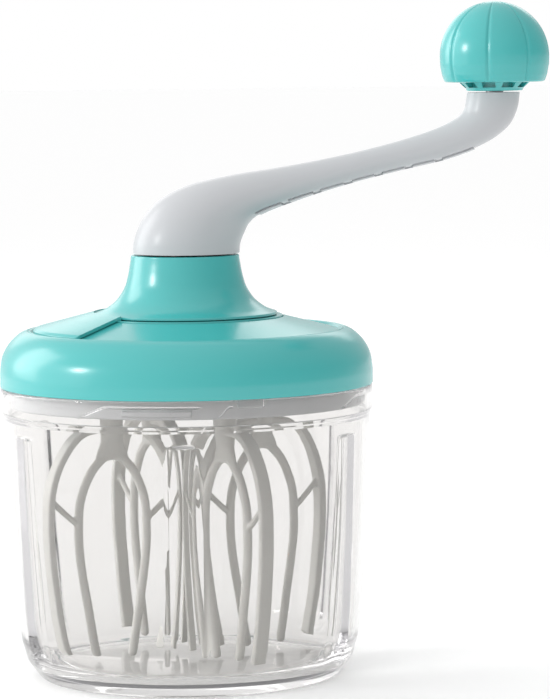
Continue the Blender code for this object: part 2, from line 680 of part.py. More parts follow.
def make_crank(parts, cutters):
    """The moulded arm, its underside cover, and the pin that carries the knob."""
    arm = loft("crank_arm", ARM_SECTIONS, parts, sides=18)
    bore = extruded("cut_hub_bore", [double_d(SHAFT_R + GAP, FLAT_HALF + GAP)], 140.0, SHAFT_Z[1] + GAP, cutters)
    combine(arm, bore, "DIFFERENCE")
    combine(arm, cylinder("cut_screw_tip", 2.2, (150.0, 163.6), cutters, vertices=12), "DIFFERENCE")
    pin_at = (KNOB_X, 0.0)
    combine(arm, cylinder("cut_pin", PIN_R + GAP, (185.0, 199.0), cutters, pin_at, 16), "DIFFERENCE")
    combine(arm, prism_strip("cut_cover", 2.0 + GAP, 4.0 + GAP, 4.0, GAP, cutters), "DIFFERENCE")
    smooth(arm)
    paint(arm, "grey_plastic")
    cover = prism_strip("arm_cover", 2.0, 4.0, -0.4, 0.0, parts)
    smooth(cover)
    paint(cover, "grey_plastic")
    profile = [(0.0, 213.0), (4.6, 213.0), (5.6, 212.2), (5.6, 210.4), (PIN_R, 210.4), (PIN_R, 185.4), (0.0, 185.4)]
    pin = turned("knob_pin", profile, parts, steps=14)
    pin.location.x = KNOB_X * MM
    smooth(pin)
    paint(pin, "steel")


def prism_strip(name, depth, half, drop, longer, collection):
    """A strip along the arm's underside: depth into the arm, half its width, drop below its skin, longer at each end."""
    inner, outer = [], []
    for top, bottom, _ in ARM_SECTIONS[COVER_FIRST:COVER_LAST]:
        up = (Vector(top) - Vector(bottom)).normalized()
        inner.append(tuple(Vector(bottom) + up * depth))
        outer.append(tuple(Vector(bottom) - up * drop))
    for line in (inner, outer):
        along = (Vector(line[1]) - Vector(line[0])).normalized()
        line[0] = tuple(Vector(line[0]) - along * longer)
        along = (Vector(line[-1]) - Vector(line[-2])).normalized()
        line[-1] = tuple(Vector(line[-1]) + along * longer)
    return extruded(name, [inner + outer[::-1]], -half, half, collection, upright=True)


# ---------------------------------------------------------------- knob


def make_knob(parts, cutters):
    """A domed grip snapped over a ribbed collar, which spins on the pin."""
    dome = []
    for step in range(9):
        angle = radians(90.0 - 11.25 * step)
        dome.append((KNOB_R * cos(angle) if step else 0.0, KNOB_CENTRE_Z + KNOB_R * sin(angle)))
    skirt = [(18.6, 206.0), (18.2, 203.6), (17.3, 201.9), (16.0, KNOB_BOTTOM), (12.4, KNOB_BOTTOM)]
    inner_r, ceiling = KNOB_R - 2.0, 226.2
    hollow = [(12.4, 203.0), (15.8, 204.4), (inner_r, 209.0), (inner_r - 1.2, 215.5), (13.0, 220.4), (8.0, 224.6)]
    hollow.append((0.0, ceiling))
    shell = turned("knob_shell", dome + skirt + hollow, parts, steps=24)
    grip = [(0.0, 206.8), (8.0, 206.8), (11.4, 204.6), (12.1, 203.6), (12.1, 201.0), (11.4, 199.6), (9.4, 198.4)]
    grip += [(9.2, 198.0), (0.0, 198.0)]
    collar = turned("knob_collar", grip, parts, steps=20)
    windows = bmesh.new()
    for number in range(10):
        turn = Matrix.Rotation(2 * pi * number / 10, 4, "Z")
        place = turn @ Matrix.Translation((11.6 * MM, 0.0, 200.1 * MM))
        bmesh.ops.create_cube(windows, size=1.0, matrix=place @ Matrix.Diagonal((4.4 * MM, 3.6 * MM, 1.9 * MM, 1.0)))
    mesh = bpy.data.meshes.new("cut_windows")
    windows.to_mesh(mesh)
    windows.free()
    combine(collar, add_object("cut_windows", mesh, cutters), "DIFFERENCE")
    cut = cylinder("cut_collar_bore", PIN_R + GAP, (190.0, 215.0), cutters, vertices=20)
    combine(collar, cut, "DIFFERENCE")
    for piece in (shell, collar):
        piece.location.x = KNOB_X * MM
    for name in ("cut_windows", "cut_collar_bore"):
        bpy.data.objects[name].location.x = KNOB_X * MM
    smooth(shell)
    paint(shell, "teal_plastic")
    smooth(collar)
    paint(collar, "teal_plastic")


def main():
    clear_scene()
    parts = new_collection("egg_beater")
    cutters = new_collection("cutters")
    cutters.hide_render = True
    make_cup(parts, cutters)
    make_lid_dome(parts, cutters)
    make_neck_tower(parts, cutters)
    make_port_shutter(parts, cutters)
    make_gearbox_base(parts, cutters)
    make_lid_fittings(parts)
    make_drive_wheel(parts, cutters)
    make_whisk_drives(parts)
    make_whisks(parts, cutters)
    make_drive_shaft(parts, cutters)
    make_crank(parts, cutters)
    make_knob(parts, cutters)


if __name__ == "__main__":
    main()
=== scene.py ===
"""Looks of a hand-crank egg beater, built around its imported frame.

Lengths in the outlines are millimetres, and MM turns them into metres where a mesh is made. Angles are
degrees about Z, counted from +X, so the front of the beaker is at -90.
"""

import json
from math import cos, exp, hypot, pi, radians, sin, tan

import bmesh
import bpy
from mathutils import Matrix, Vector


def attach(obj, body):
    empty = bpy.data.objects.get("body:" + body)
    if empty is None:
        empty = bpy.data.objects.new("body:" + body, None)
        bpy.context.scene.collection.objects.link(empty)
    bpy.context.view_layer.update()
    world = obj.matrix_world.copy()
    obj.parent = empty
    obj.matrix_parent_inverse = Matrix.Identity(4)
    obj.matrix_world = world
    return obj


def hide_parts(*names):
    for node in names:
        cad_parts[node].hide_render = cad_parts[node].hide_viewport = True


bl_info = {
    "name": "Egg beater",
    "version": (1, 0, 0),
    "blender": (4, 5, 0),
    "location": "3D View > Sidebar > Egg beater",
    "description": "Builds the visible pieces and finishes of a hand-crank egg beater",
    "category": "Object",
}

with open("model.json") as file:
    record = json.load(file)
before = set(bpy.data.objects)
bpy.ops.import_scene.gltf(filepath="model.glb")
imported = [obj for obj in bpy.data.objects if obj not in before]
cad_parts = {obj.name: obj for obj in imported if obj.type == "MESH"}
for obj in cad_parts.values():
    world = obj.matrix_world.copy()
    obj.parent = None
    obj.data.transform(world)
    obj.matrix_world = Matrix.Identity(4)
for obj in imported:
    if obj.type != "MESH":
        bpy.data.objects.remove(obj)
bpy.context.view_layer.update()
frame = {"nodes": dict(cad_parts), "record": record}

MM = 0.001
WHISK_ANGLES = (207.5, 297.5, 27.5, 117.5)
WHISK_CIRCLE_R = 28.5
WHISK_TWIST = 5.5
KNOB_X = 105.7
TRACK_R = (33.3, 52.6)
PORT_SPAN = (152.5, 207.5)
SHUTTER_SPAN = (138.0, 228.0)


# ---------------------------------------------------------------- settings


def linear(code):
    """An sRGB hex colour as the linear RGB that shaders take."""
    parts = [int(code[i : i + 2], 16) / 255 for i in (0, 2, 4)]
    return tuple(p / 12.92 if p <= 0.04045 else ((p + 0.055) / 1.055) ** 2.4 for p in parts)


def colour_setting(name, code, description):
    return bpy.props.FloatVectorProperty(
        name=name, description=description, subtype="COLOR", size=3, min=0.0, max=1.0, default=linear(code)
    )


def length_setting(name, millimetres, description):
    return bpy.props.FloatProperty(
        name=name,
        description=description,
        subtype="DISTANCE",
        unit="LENGTH",
        default=millimetres * MM,
        min=0.0,
    )


class EggBeaterColours(bpy.types.PropertyGroup):
    """Colours of the plastics."""

    teal: colour_setting("Teal", "3FB4B3", "Moulded cover, neck, shutter and knob")
    grey: colour_setting("Grey", "BDBFC2", "Crank arm")
    skirt: colour_setting("Skirt", "DCDDDF", "Gearbox floor and skirt")
    whisk: colour_setting("Whisk", "D8D7D3", "Whisks")
    clear: colour_setting("Clear", "EEEDEC", "Tint of the clear beaker")
    white: colour_setting("White", "E9E8E3", "Gears and bushes inside")


class EggBeaterSizes(bpy.types.PropertyGroup):
    """Sizes of the surface detail."""

    flute_depth: length_setting("Flute depth", 1.0, "Depth of the six flutes in the beaker's wall")
    flute_top: length_setting("Flute width at top", 9.8, "Width of each flute at its upper end")
    flute_foot: length_setting("Flute width at foot", 15.2, "Width of each flute at its lower end")
    knob_groove: length_setting("Knob groove", 0.5, "Depth of the grooves down the knob")
    seam: length_setting("Seam", 0.26, "Gap round the arm's underside cover")
    tab_pitch: length_setting("Tab pitch", 10.3, "Spacing of the tabs along the arm's seam")
    whisk_voxel: length_setting("Whisk voxel", 0.36, "Grid that melts the whisk's rods together")


# ---------------------------------------------------------------- mesh tools


def new_object(name, mesh):
    obj = bpy.data.objects.new(name, mesh)
    bpy.context.scene.collection.objects.link(obj)
    return obj


def mesh_from(work, name):
    bmesh.ops.remove_doubles(work, verts=work.verts, dist=1e-7)
    bmesh.ops.recalc_face_normals(work, faces=work.faces)
    mesh = bpy.data.meshes.new(name)
    work.to_mesh(mesh)
    work.free()
    return mesh


def evaluated_mesh(obj):
    """The object's mesh with its modifiers applied."""
    bpy.context.view_layer.update()
    graph = bpy.context.evaluated_depsgraph_get()
    mesh = bpy.data.meshes.new_from_object(obj.evaluated_get(graph))
    mesh.name = obj.name
    return mesh


def apply_modifiers(obj):
    mesh = evaluated_mesh(obj)
    obj.modifiers.clear()
    obj.data = mesh


def combine(obj, other, operation):
    """Joins or cuts with an exact Boolean, and removes the other object."""
    modifier = obj.modifiers.new(operation.title(), "BOOLEAN")
    modifier.operation = operation
    modifier.solver = "EXACT"
    modifier.object = other
    apply_modifiers(obj)
    bpy.data.objects.remove(other)


def bevel(obj, width, segments=3, angle=35.0):
    modifier = obj.modifiers.new("Soft edges", "BEVEL")
    modifier.width = width * MM
    modifier.segments = segments
    modifier.limit_method = "ANGLE"
    modifier.angle_limit = radians(angle)
    modifier.use_clamp_overlap = True
    apply_modifiers(obj)


def finish_piece(obj, material, body, slot, *nodes, crease=40.0):
    """Shades the piece, gives it its material, ties it to the body, and hides the nodes it stands for; slot
    is not used.
    """
    obj.data.shade_smooth()
    obj.data.set_sharp_from_angle(angle=radians(crease))
    obj.data.materials.clear()
    obj.data.materials.append(material)
    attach(obj, body)
    if nodes:
        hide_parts(*nodes)


def run_tree(obj, tree, sockets, settings):
    """Runs a node tree on the object with its inputs set, and leaves a plain mesh."""
    modifier = obj.modifiers.new(tree.name, "NODES")
    modifier.node_group = tree
    for key, value in settings.items():
        modifier[sockets[key].identifier] = value
    apply_modifiers(obj)


def polar(radius, degrees):
    return radius * cos(radians(degrees)), radius * sin(radians(degrees))


def smoothstep(low, high, value):
    t = min(1.0, max(0.0, (value - low) / (high - low)))
    return t * t * (3.0 - 2.0 * t)


def turn_between(a, b):
    """The angle from b to a in degrees, between -180 and 180."""
    return (a - b + 180.0) % 360.0 - 180.0


def fillet(points, steps=5, closed=False):
    """An outline with each corner rounded by the point's third number."""
    path = []
    count = len(points)
    for i, point in enumerate(points):
        here = Vector(point[:2])
        radius = point[2] if len(point) > 2 else 0.0
        if radius == 0.0 or (not closed and i in (0, count - 1)):
            path.append(here)
            continue
        back = Vector(points[i - 1][:2]) - here
        ahead = Vector(points[(i + 1) % count][:2]) - here
        reach = min(radius / tan(back.angle(ahead) / 2), back.length * 0.48, ahead.length * 0.48)
        start, end = here + back.normalized() * reach, here + ahead.normalized() * reach
        for k in range(steps + 1):
            t = k / steps
            path.append(start * (1 - t) ** 2 + here * (2 * t * (1 - t)) + end * t**2)
    return path


def refine(path, step):
    """Adds points so that no span is longer than step."""
    fine = [path[0]]
    for a, b in zip(path, path[1:]):
        parts = max(1, round((b - a).length / step))
        fine += [a.lerp(b, (k + 1) / parts) for k in range(parts)]
    return fine


def smooth_curve(points, per_span):
    """A Catmull-Rom curve through points of any dimension."""
    padded = [points[0], *points, points[-1]]
    path = []
    for i in range(1, len(padded) - 2):
        p0, p1, p2, p3 = (Vector(p) for p in padded[i - 1 : i + 3])
        for step in range(per_span):
            t = step / per_span
            linear_part, square, cube = p2 - p0, 2 * p0 - 5 * p1 + 4 * p2 - p3, 3 * p1 - p0 - 3 * p2 + p3
            path.append(0.5 * (2 * p1 + linear_part * t + square * t**2 + cube * t**3))
    return [*path, Vector(points[-1])]


def even_angles(count, extra=()):
    """Angles round a full turn, with extra ones added where detail needs them."""
    angles = {round(360.0 * k / count, 4) for k in range(count)} | {round(a % 360.0, 4) for a in extra}
    return sorted(angles)


def lathe(name, profile, angles, shape=None, closed=False, centre=(0.0, 0.0)):
    """A turned solid. shape(angle, r, z) gives the radius at that place, for grooves and flutes."""
    work = bmesh.new()
    rings = []
    for r, z in profile:
        if r < 1e-6:
            rings.append([work.verts.new((centre[0] * MM, centre[1] * MM, z * MM))])
            continue
        ring = []
        for angle in angles:
            radius = shape(angle, r, z) if shape else r
            x, y = polar(radius, angle)
            ring.append(work.verts.new(((x + centre[0]) * MM, (y + centre[1]) * MM, z * MM)))
        rings.append(ring)
    pairs = list(zip(rings, rings[1:])) + ([(rings[-1], rings[0])] if closed else [])
    count = len(angles)
    for lower, upper in pairs:
        for i in range(count):
            j = (i + 1) % count
            if len(lower) == 1 and len(upper) == 1:
                break
            if len(lower) == 1:
                work.faces.new((lower[0], upper[j], upper[i]))
            elif len(upper) == 1:
                work.faces.new((lower[i], lower[j], upper[0]))
            else:
                work.faces.new((lower[i], lower[j], upper[j], upper[i]))
    return new_object(name, mesh_from(work, name))


def prism(name, outline, low, high):
    """A flat outline in XY, extruded between two heights."""
    work = bmesh.new()
    bottom = [work.verts.new((x * MM, y * MM, low * MM)) for x, y in outline]
    top = [work.verts.new((x * MM, y * MM, high * MM)) for x, y in outline]
    work.faces.new(bottom[::-1])
    work.faces.new(top)
    for i in range(len(outline)):
        j = (i + 1) % len(outline)
        work.faces.new((bottom[i], bottom[j], top[j], top[i]))
    return new_object(name, mesh_from(work, name))


def sector_outline(radii, span, corner, steps=48):
    """An arc-shaped plate's outline with rounded corners."""
    angles = [span[0] + (span[1] - span[0]) * i / steps for i in range(steps + 1)]
    points = [polar(radii[1], a) for a in angles] + [polar(radii[0], a) for a in reversed(angles)]
    corners = {0, steps, steps + 1, 2 * steps + 1}
    rounded = []
    for i, point in enumerate(points):
        near = min(abs(i - c) for c in corners)
        if i in corners:
            rounded.append((*point, corner))
        elif near > 1:
            rounded.append(point)
    return [tuple(p) for p in fillet(rounded, 6, closed=True)]


# ---------------------------------------------------------------- materials


def add_node(tree, kind, inputs=None, **settings):
    """Adds a node, sets its properties, and fills its inputs with values or links."""
    node = tree.nodes.new(kind)
    for key, value in settings.items():
        setattr(node, key, value)
    for key, value in (inputs or {}).items():
        if isinstance(value, bpy.types.NodeSocket):
            tree.links.new(value, node.inputs[key])
        else:
            node.inputs[key].default_value = value
    return node


def per_metre(millimetres):
    """Noise scale whose features are about this long."""
    return 1.0 / (millimetres * MM)


def shaded(colour, factor):
    return (*(min(1.0, c * factor) for c in colour), 1.0)


def moulded_plastic(name, colour, roughness, texture_mm, bump, cloud=0.03, specular=0.5, inner_light=0.0):
    """Injection-moulded plastic: even colour with a faint cloud, satin gloss that drifts over the surface,
    and the fine orange-peel texture of a polished tool."""
    material = bpy.data.materials.new(name)
    material.use_nodes = True
    tree = material.node_tree
    shader = tree.nodes["Principled BSDF"]
    place = add_node(tree, "ShaderNodeTexCoord").outputs["Object"]
    noises = []
    for millimetres, detail, rough in ((38.0, 2.0, 0.5), (14.0, 4.0, 0.6), (texture_mm, 3.0, 0.55)):
        settings = {"Scale": per_metre(millimetres), "Detail": detail, "Roughness": rough}
        noises.append(add_node(tree, "ShaderNodeTexNoise", {"Vector": place, **settings}))
    drift, gloss, peel = noises
    tone = add_node(
        tree,
        "ShaderNodeMix",
        {"Factor": drift.outputs["Fac"], "A": shaded(colour, 1.0 - cloud), "B": shaded(colour, 1.0 + cloud)},
        data_type="RGBA",
    )
    tree.links.new(tone.outputs["Result"], shader.inputs["Base Color"])
    sheen = add_node(
        tree,
        "ShaderNodeMapRange",
        {"Value": gloss.outputs["Fac"], "To Min": roughness * 0.85, "To Max": roughness * 1.2},
    )
    tree.links.new(sheen.outputs["Result"], shader.inputs["Roughness"])
    relief = add_node(
        tree, "ShaderNodeBump", {"Height": peel.outputs["Fac"], "Strength": 1.0, "Distance": bump * MM}
    )
    tree.links.new(relief.outputs["Normal"], shader.inputs["Normal"])
    shader.inputs["Specular IOR Level"].default_value = specular
    shader.inputs["IOR"].default_value = 1.5
    if inner_light:
        shader.inputs["Subsurface Weight"].default_value = inner_light
        shader.inputs["Subsurface Radius"].default_value = (1.0, 0.9, 0.85)
        shader.inputs["Subsurface Scale"].default_value = 1.2 * MM
    return material


LAST_CLEAR_BOUNCE = 11.0  # rays deeper than this meet a dim grey see-through shader instead of bending on: painted shade on the beaker's edges


def clear_styrene(name, colour):
    """Clear moulded styrene: water-clear with faint flow ripples, and dim grey past a set ray depth as
    painted shade on its edges. Light passes through it to the things inside, so it throws only a light
    shadow."""
    material = bpy.data.materials.new(name)
    material.use_nodes = True
    tree = material.node_tree
    shader = tree.nodes["Principled BSDF"]
    shader.inputs["Base Color"].default_value = (*colour, 1.0)
    shader.inputs["Roughness"].default_value = 0.015
    shader.inputs["IOR"].default_value = 1.42
    shader.inputs["Transmission Weight"].default_value = 1.0
    place = add_node(tree, "ShaderNodeTexCoord").outputs["Object"]
    ripple = add_node(
        tree,
        "ShaderNodeTexNoise",
        {"Vector": place, "Scale": per_metre(16.0), "Detail": 1.5, "Roughness": 0.4},
    )
    relief = add_node(
        tree, "ShaderNodeBump", {"Height": ripple.outputs["Fac"], "Strength": 1.0, "Distance": 0.05 * MM}
    )
    tree.links.new(relief.outputs["Normal"], shader.inputs["Normal"])
    passing = add_node(tree, "ShaderNodeBsdfTransparent", {"Color": (0.93, 0.935, 0.935, 1.0)})
    path = add_node(tree, "ShaderNodeLightPath")
    # Rays past LAST_CLEAR_BOUNCE meet a dim grey see-through shader instead of the glass: painted shade that
    # draws the edges grey.
    painted_edge_shade = add_node(tree, "ShaderNodeBsdfTransparent", {"Color": (0.62, 0.615, 0.625, 1.0)})
    past_last_bounce = add_node(
        tree, "ShaderNodeMath", {0: path.outputs["Ray Depth"], 1: LAST_CLEAR_BOUNCE}, operation="GREATER_THAN"
    )
    wall = add_node(
        tree,
        "ShaderNodeMixShader",
        {0: past_last_bounce.outputs[0], 1: shader.outputs["BSDF"], 2: painted_edge_shade.outputs["BSDF"]},
    )
    both = add_node(
        tree,
        "ShaderNodeMixShader",
        {0: path.outputs["Is Shadow Ray"], 1: wall.outputs["Shader"], 2: passing.outputs["BSDF"]},
    )
    tree.links.new(both.outputs["Shader"], tree.nodes["Material Output"].inputs["Surface"])
    return material


def turned_steel(name):
    """Turned, plated steel: bright metal with fine rings left by the tool."""
    material = bpy.data.materials.new(name)
    material.use_nodes = True
    tree = material.node_tree
    shader = tree.nodes["Principled BSDF"]
    shader.inputs["Metallic"].default_value = 1.0
    place = add_node(tree, "ShaderNodeTexCoord").outputs["Object"]
    rings = add_node(
        tree,
        "ShaderNodeTexWave",
        {"Vector": place, "Scale": per_metre(3.0), "Distortion": 0.6, "Detail": 2.0},
        bands_direction="Z",
    )
    tone = add_node(
        tree,
        "ShaderNodeMix",
        {"Factor": rings.outputs["Fac"], "A": (*linear("A9AAAD"), 1.0), "B": (*linear("C3C4C6"), 1.0)},
        data_type="RGBA",
    )
    tree.links.new(tone.outputs["Result"], shader.inputs["Base Color"])
    sheen = add_node(
        tree, "ShaderNodeMapRange", {"Value": rings.outputs["Fac"], "To Min": 0.22, "To Max": 0.36}
    )
    tree.links.new(sheen.outputs["Result"], shader.inputs["Roughness"])
    return material


def material_named(name):
    """The finish of that name, made once."""
    found = bpy.data.materials.get(name)
    if found:
        return found
    colours = bpy.context.scene.egg_beater_colours
    if name == "moulded_abs_teal":
        return moulded_plastic(name, colours.teal, 0.22, 2.4, 0.0015, specular=0.9)
    if name == "moulded_abs_grey":
        return moulded_plastic(name, colours.grey, 0.3, 2.4, 0.003, cloud=0.02)
    if name == "moulded_abs_pale_grey":
        return moulded_plastic(name, colours.skirt, 0.34, 2.4, 0.003, cloud=0.02)
    if name == "moulded_nylon_grey":
        return moulded_plastic(name, colours.whisk, 0.38, 0.9, 0.012, inner_light=0.1)
    if name == "machined_acetal_white":
        return moulded_plastic(name, colours.white, 0.36, 0.9, 0.01)
    if name == "clear_styrene":
        return clear_styrene(name, colours.clear)
    return turned_steel(name)


# ---------------------------------------------------------------- beaker


FLUTE_ANGLES = (-150.0, -90.0, -30.0, 30.0, 90.0, 150.0)
FLUTE_Z = (7.0, 84.8)
FLUTE_LIP = 0.16
NOTCH_SPAN = (-73.4, -64.8)
# Bars of the lock mark on the rim: degrees either side of the front, then the bottom and top heights.
LOCK_MARKS = (((3.3, 3.8), 94.3, 97.0), ((2.5, 3.4), 94.3, 94.75), ((2.5, 3.4), 96.55, 97.0))


def flute_shift(angle, z, depth, widths):
    """How far the wall is pushed in here by the nearest flute, a shallow hollow that widens downwards."""
    nearest = min((abs(turn_between(angle, centre)) for centre in FLUTE_ANGLES))
    down = (FLUTE_Z[1] - z) / (FLUTE_Z[1] - FLUTE_Z[0])
    half = (widths[0] + (widths[1] - widths[0]) * min(1.0, max(0.0, down))) / 2
    hollow = 1.0 - (radians(nearest) * 60.5 / half) ** 2
    round_lip = (hollow + hypot(hollow, FLUTE_LIP)) / 2
    ends = smoothstep(FLUTE_Z[0], FLUTE_Z[0] + 4.0, z) * (1.0 - smoothstep(FLUTE_Z[1] - 1.3, FLUTE_Z[1], z))
    return depth * round_lip * ends


def rib_path(first, last, rising):
    """The line of one bayonet rib inside the rim: a tail that rises from the left, then a level run."""
    points = []
    for k in range(41):
        turn = (last - first) * k / 40
        points.append((first + turn, 93.6 + 3.3 * smoothstep(0.0, rising, turn)))
    return points


def add_rib(work, path, radius, half_height, depth):
    """A low rib of half-round section standing inwards from a cylindrical wall."""
    rings = []
    for i, (angle, z) in enumerate(path):
        end = min(i, len(path) - 1 - i)
        size = min(1.0, 0.35 + 0.25 * end)
        ring = []
        for k in range(9):
            t = pi * k / 8
            x, y = polar(radius + 0.4 - (depth + 0.4) * sin(t) * size, angle)
            ring.append(work.verts.new((x * MM, y * MM, (z + half_height * size * cos(t)) * MM)))
        rings.append(ring)
    for a, b in zip(rings, rings[1:]):
        for i in range(9):
            j = (i + 1) % 9
            work.faces.new((a[i], a[j], b[j], b[i]))
    work.faces.new(rings[0])
    work.faces.new(rings[-1][::-1])


class EGGBEATER_OT_beaker(bpy.types.Operator):
    """Clear beaker with six flutes, a rim band, bayonet ribs inside the rim and a ring foot"""

    bl_idname = "egg_beater.beaker"
    bl_label = "Beaker"

    def execute(self, context):
        sizes = context.scene.egg_beater_sizes
        depth, widths = sizes.flute_depth / MM, (sizes.flute_top / MM, sizes.flute_foot / MM)
        inner = [(0.0, 4.7), (44.0, 4.7, 6.0), (52.0, 6.0, 9.0), (55.6, 13.0, 12.0), (56.7, 21.0, 20.0)]
        inner += [(58.7, 50.0, 40.0), (60.3, 88.4, 0.6), (61.2, 90.9, 0.6), (61.2, 99.0, 0.7)]
        outer = [
            (63.4, 99.0, 0.7), (63.4, 91.0, 0.2), (62.75, 90.75, 0.15), (62.72, 89.8, 0.3), (62.5, 89.3, 0.3)
        ]
        outer += [(62.42, 86.0), (62.3, 82.0), (62.0, 75.0, 30.0), (60.8, 50.0, 30.0)]
        outer += [(58.9, 21.0, 20.0), (57.6, 12.0, 10.0), (55.9, 6.0, 5.0), (51.5, 0.0, 4.5)]
        outer += [(48.6, 0.0, 0.4), (47.2, 1.7, 0.4), (0.0, 1.7)]
        profile = refine(fillet(inner + outer, 5), 3.2)
        fine = []
        for a, b in zip(profile, profile[1:]):
            near_end = a.x > 60.0 and b.x > 60.0 and 81.5 < (a.y + b.y) / 2 < 86.5
            fine += refine([a, b], 0.4)[:-1] if near_end else [a]
        steps = [0.7 * k for k in range(13)]
        flute_edges = [
            centre + side * reach / 60.5 * 180.0 / pi
            for centre in FLUTE_ANGLES
            for side in (-1, 1)
            for reach in steps
        ]

        def wall(angle, r, z):
            return r - (flute_shift(angle, z, depth, widths) if r > 56.0 and self.is_outside(r, z) else 0.0)

        beaker = lathe("beaker_body", [*fine, profile[-1]], even_angles(120, flute_edges), wall)
        ribs = bmesh.new()
        for k in range(4):
            add_rib(ribs, rib_path(90.0 * k - 124.0, 90.0 * k - 83.0, 11.0), 61.2, 0.45, 0.5)
            add_rib(ribs, rib_path(90.0 * k - 79.4, 90.0 * k - 74.2, 4.0), 61.2, 0.4, 0.45)
        combine(beaker, new_object("beaker_ribs", mesh_from(ribs, "beaker_ribs")), "UNION")
        notch = prism("notch_cut", sector_outline((60.5, 62.1), NOTCH_SPAN, 0.2, 8), 96.6, 100.0)
        combine(beaker, notch, "DIFFERENCE")
        for span, low, high in LOCK_MARKS:
            for side in (-1, 1):
                turned = sorted(-90.0 + side * angle for angle in span)
                bar = prism("lock_mark", sector_outline((62.8, 63.62), turned, 0.08, 4), low, high)
                combine(beaker, bar, "UNION")
        finish_piece(beaker, material_named("clear_styrene"), "beaker", "clear_plastic", "cup", crease=50.0)
        return {"FINISHED"}

    def is_outside(self, r, z):
        """Whether a point of the outline lies on the outer face, past the middle of the wall."""
        return z < 5.0 or r > 57.0 + 0.052 * (z - 13.0)


# ---------------------------------------------------------------- lid


def track_z(radius):
    return 117.2 + (TRACK_R[1] - radius) * 0.26


class EGGBEATER_OT_cover(bpy.types.Operator):
    """Domed cover with its sloping annulus, filling port and chute"""

    bl_idname = "egg_beater.cover"
    bl_label = "Cover"

    def execute(self, context):
        top = [
            (20.0, 122.6), (27.0, 122.6, 0.2), (27.0, 121.4, 0.2),
            (33.3, 121.4, 0.2), (33.3, track_z(33.3), 0.3),
        ]
        top += [(52.3, track_z(52.3), 0.35), (52.9, 118.05, 0.3), (53.5, 118.2, 0.2)]
        top += [(53.8, 117.8, 0.1), (54.15, 118.15, 0.2)]
        shoulder = [
            (54.8, 117.98), (57.2, 116.8), (60.4, 113.7), (62.7, 109.5), (63.55, 104.6), (63.6, 101.6)
        ]
        top += [*smooth_curve(shoulder, 6), (63.6, 99.3, 0.45)]
        under = [
            (61.6, 99.3, 0.3), (61.6, 105.0, 4.0), (60.3, 108.6, 3.0), (57.6, 112.4, 3.0), (54.6, 114.7, 2.0)
        ]
        under += [
            (52.6, 115.0), (34.5, track_z(34.5) - 2.2), (33.3, 119.2),
            (27.5, 119.2), (26.5, 120.2), (20.0, 120.2),
        ]
        cover = lathe("lid_cover", fillet(top + under, 6), even_angles(200), closed=True)
        walls = (PORT_SPAN[0] - 2.5, PORT_SPAN[1] + 2.5)
        combine(cover, prism("chute_inner", sector_outline((41.9, 47.0), walls, 1.0), 95.7, 118.2), "UNION")
        combine(cover, prism("chute_outer", sector_outline((46.0, 53.2), walls, 1.0), 95.7, 116.8), "UNION")
        port = prism("port_cut", sector_outline((43.5, 51.6), PORT_SPAN, 2.0), 90.0, 125.0)
        combine(cover, port, "DIFFERENCE")
        teal = material_named("moulded_abs_teal")
        finish_piece(cover, teal, "lid", "teal_plastic", "lid_dome", crease=30.0)
        return {"FINISHED"}


class EGGBEATER_OT_neck(bpy.types.Operator):
    """Flared neck that carries the crank"""

    bl_idname = "egg_beater.neck"
    bl_label = "Neck"

    def execute(self, context):
        flare = [
            (18.5, 142.2), (18.8, 140.2), (19.6, 136.0), (20.9, 132.0),
            (23.6, 128.0), (27.2, 125.2), (30.4, 123.9),
        ]
        outside = [
            (9.3, 143.3), (18.4, 143.3, 0.5), *smooth_curve(flare, 6), (31.1, 123.7, 0.35), (31.1, 122.9, 0.2)
        ]
        inside = [(16.0, 122.9), (16.0, 138.5), (9.3, 138.5)]
        neck = lathe("neck_flare", fillet(outside + inside, 6), even_angles(160), closed=True)
        teal = material_named("moulded_abs_teal")
        finish_piece(neck, teal, "lid", "teal_plastic", "neck_tower", crease=30.0)
        return {"FINISHED"}


class EGGBEATER_OT_shutter(bpy.types.Operator):
    """Raised sector that turns about the neck and covers the filling port"""

    bl_idname = "egg_beater.shutter"
    bl_label = "Shutter"

    def execute(self, context):
        plate = [
            (31.4, track_z(31.4) + 1.5), (51.0, track_z(51.0) + 1.5, 0.6), (52.0, track_z(52.0) + 0.9, 0.3)
        ]
        plate += [(52.0, track_z(52.0) + 0.3), (33.0, track_z(33.0) + 0.3), (33.0, 122.0), (31.4, 122.0)]
        outline = refine(fillet(plate, 5, closed=True), 4.0)
        sheet = lathe("shutter_plate", outline, even_angles(240), closed=True)
        wedge = prism("shutter_wedge", sector_outline((27.0, 52.05), SHUTTER_SPAN, 2.2), 115.0, 128.0)
        combine(sheet, wedge, "INTERSECT")
        bevel(sheet, 0.3)
        ring = [(27.3, 122.6, 0.15), (33.0, 122.6, 0.15), (33.0, 121.7, 0.15), (27.3, 121.7, 0.15)]
        hub = lathe("shutter_ring", fillet(ring, 3, closed=True), even_angles(160), closed=True)
        combine(sheet, hub, "UNION")
        teal = material_named("moulded_abs_teal")
        finish_piece(sheet, teal, "shutter", "teal_plastic", "port_shutter", crease=35.0)
        return {"FINISHED"}


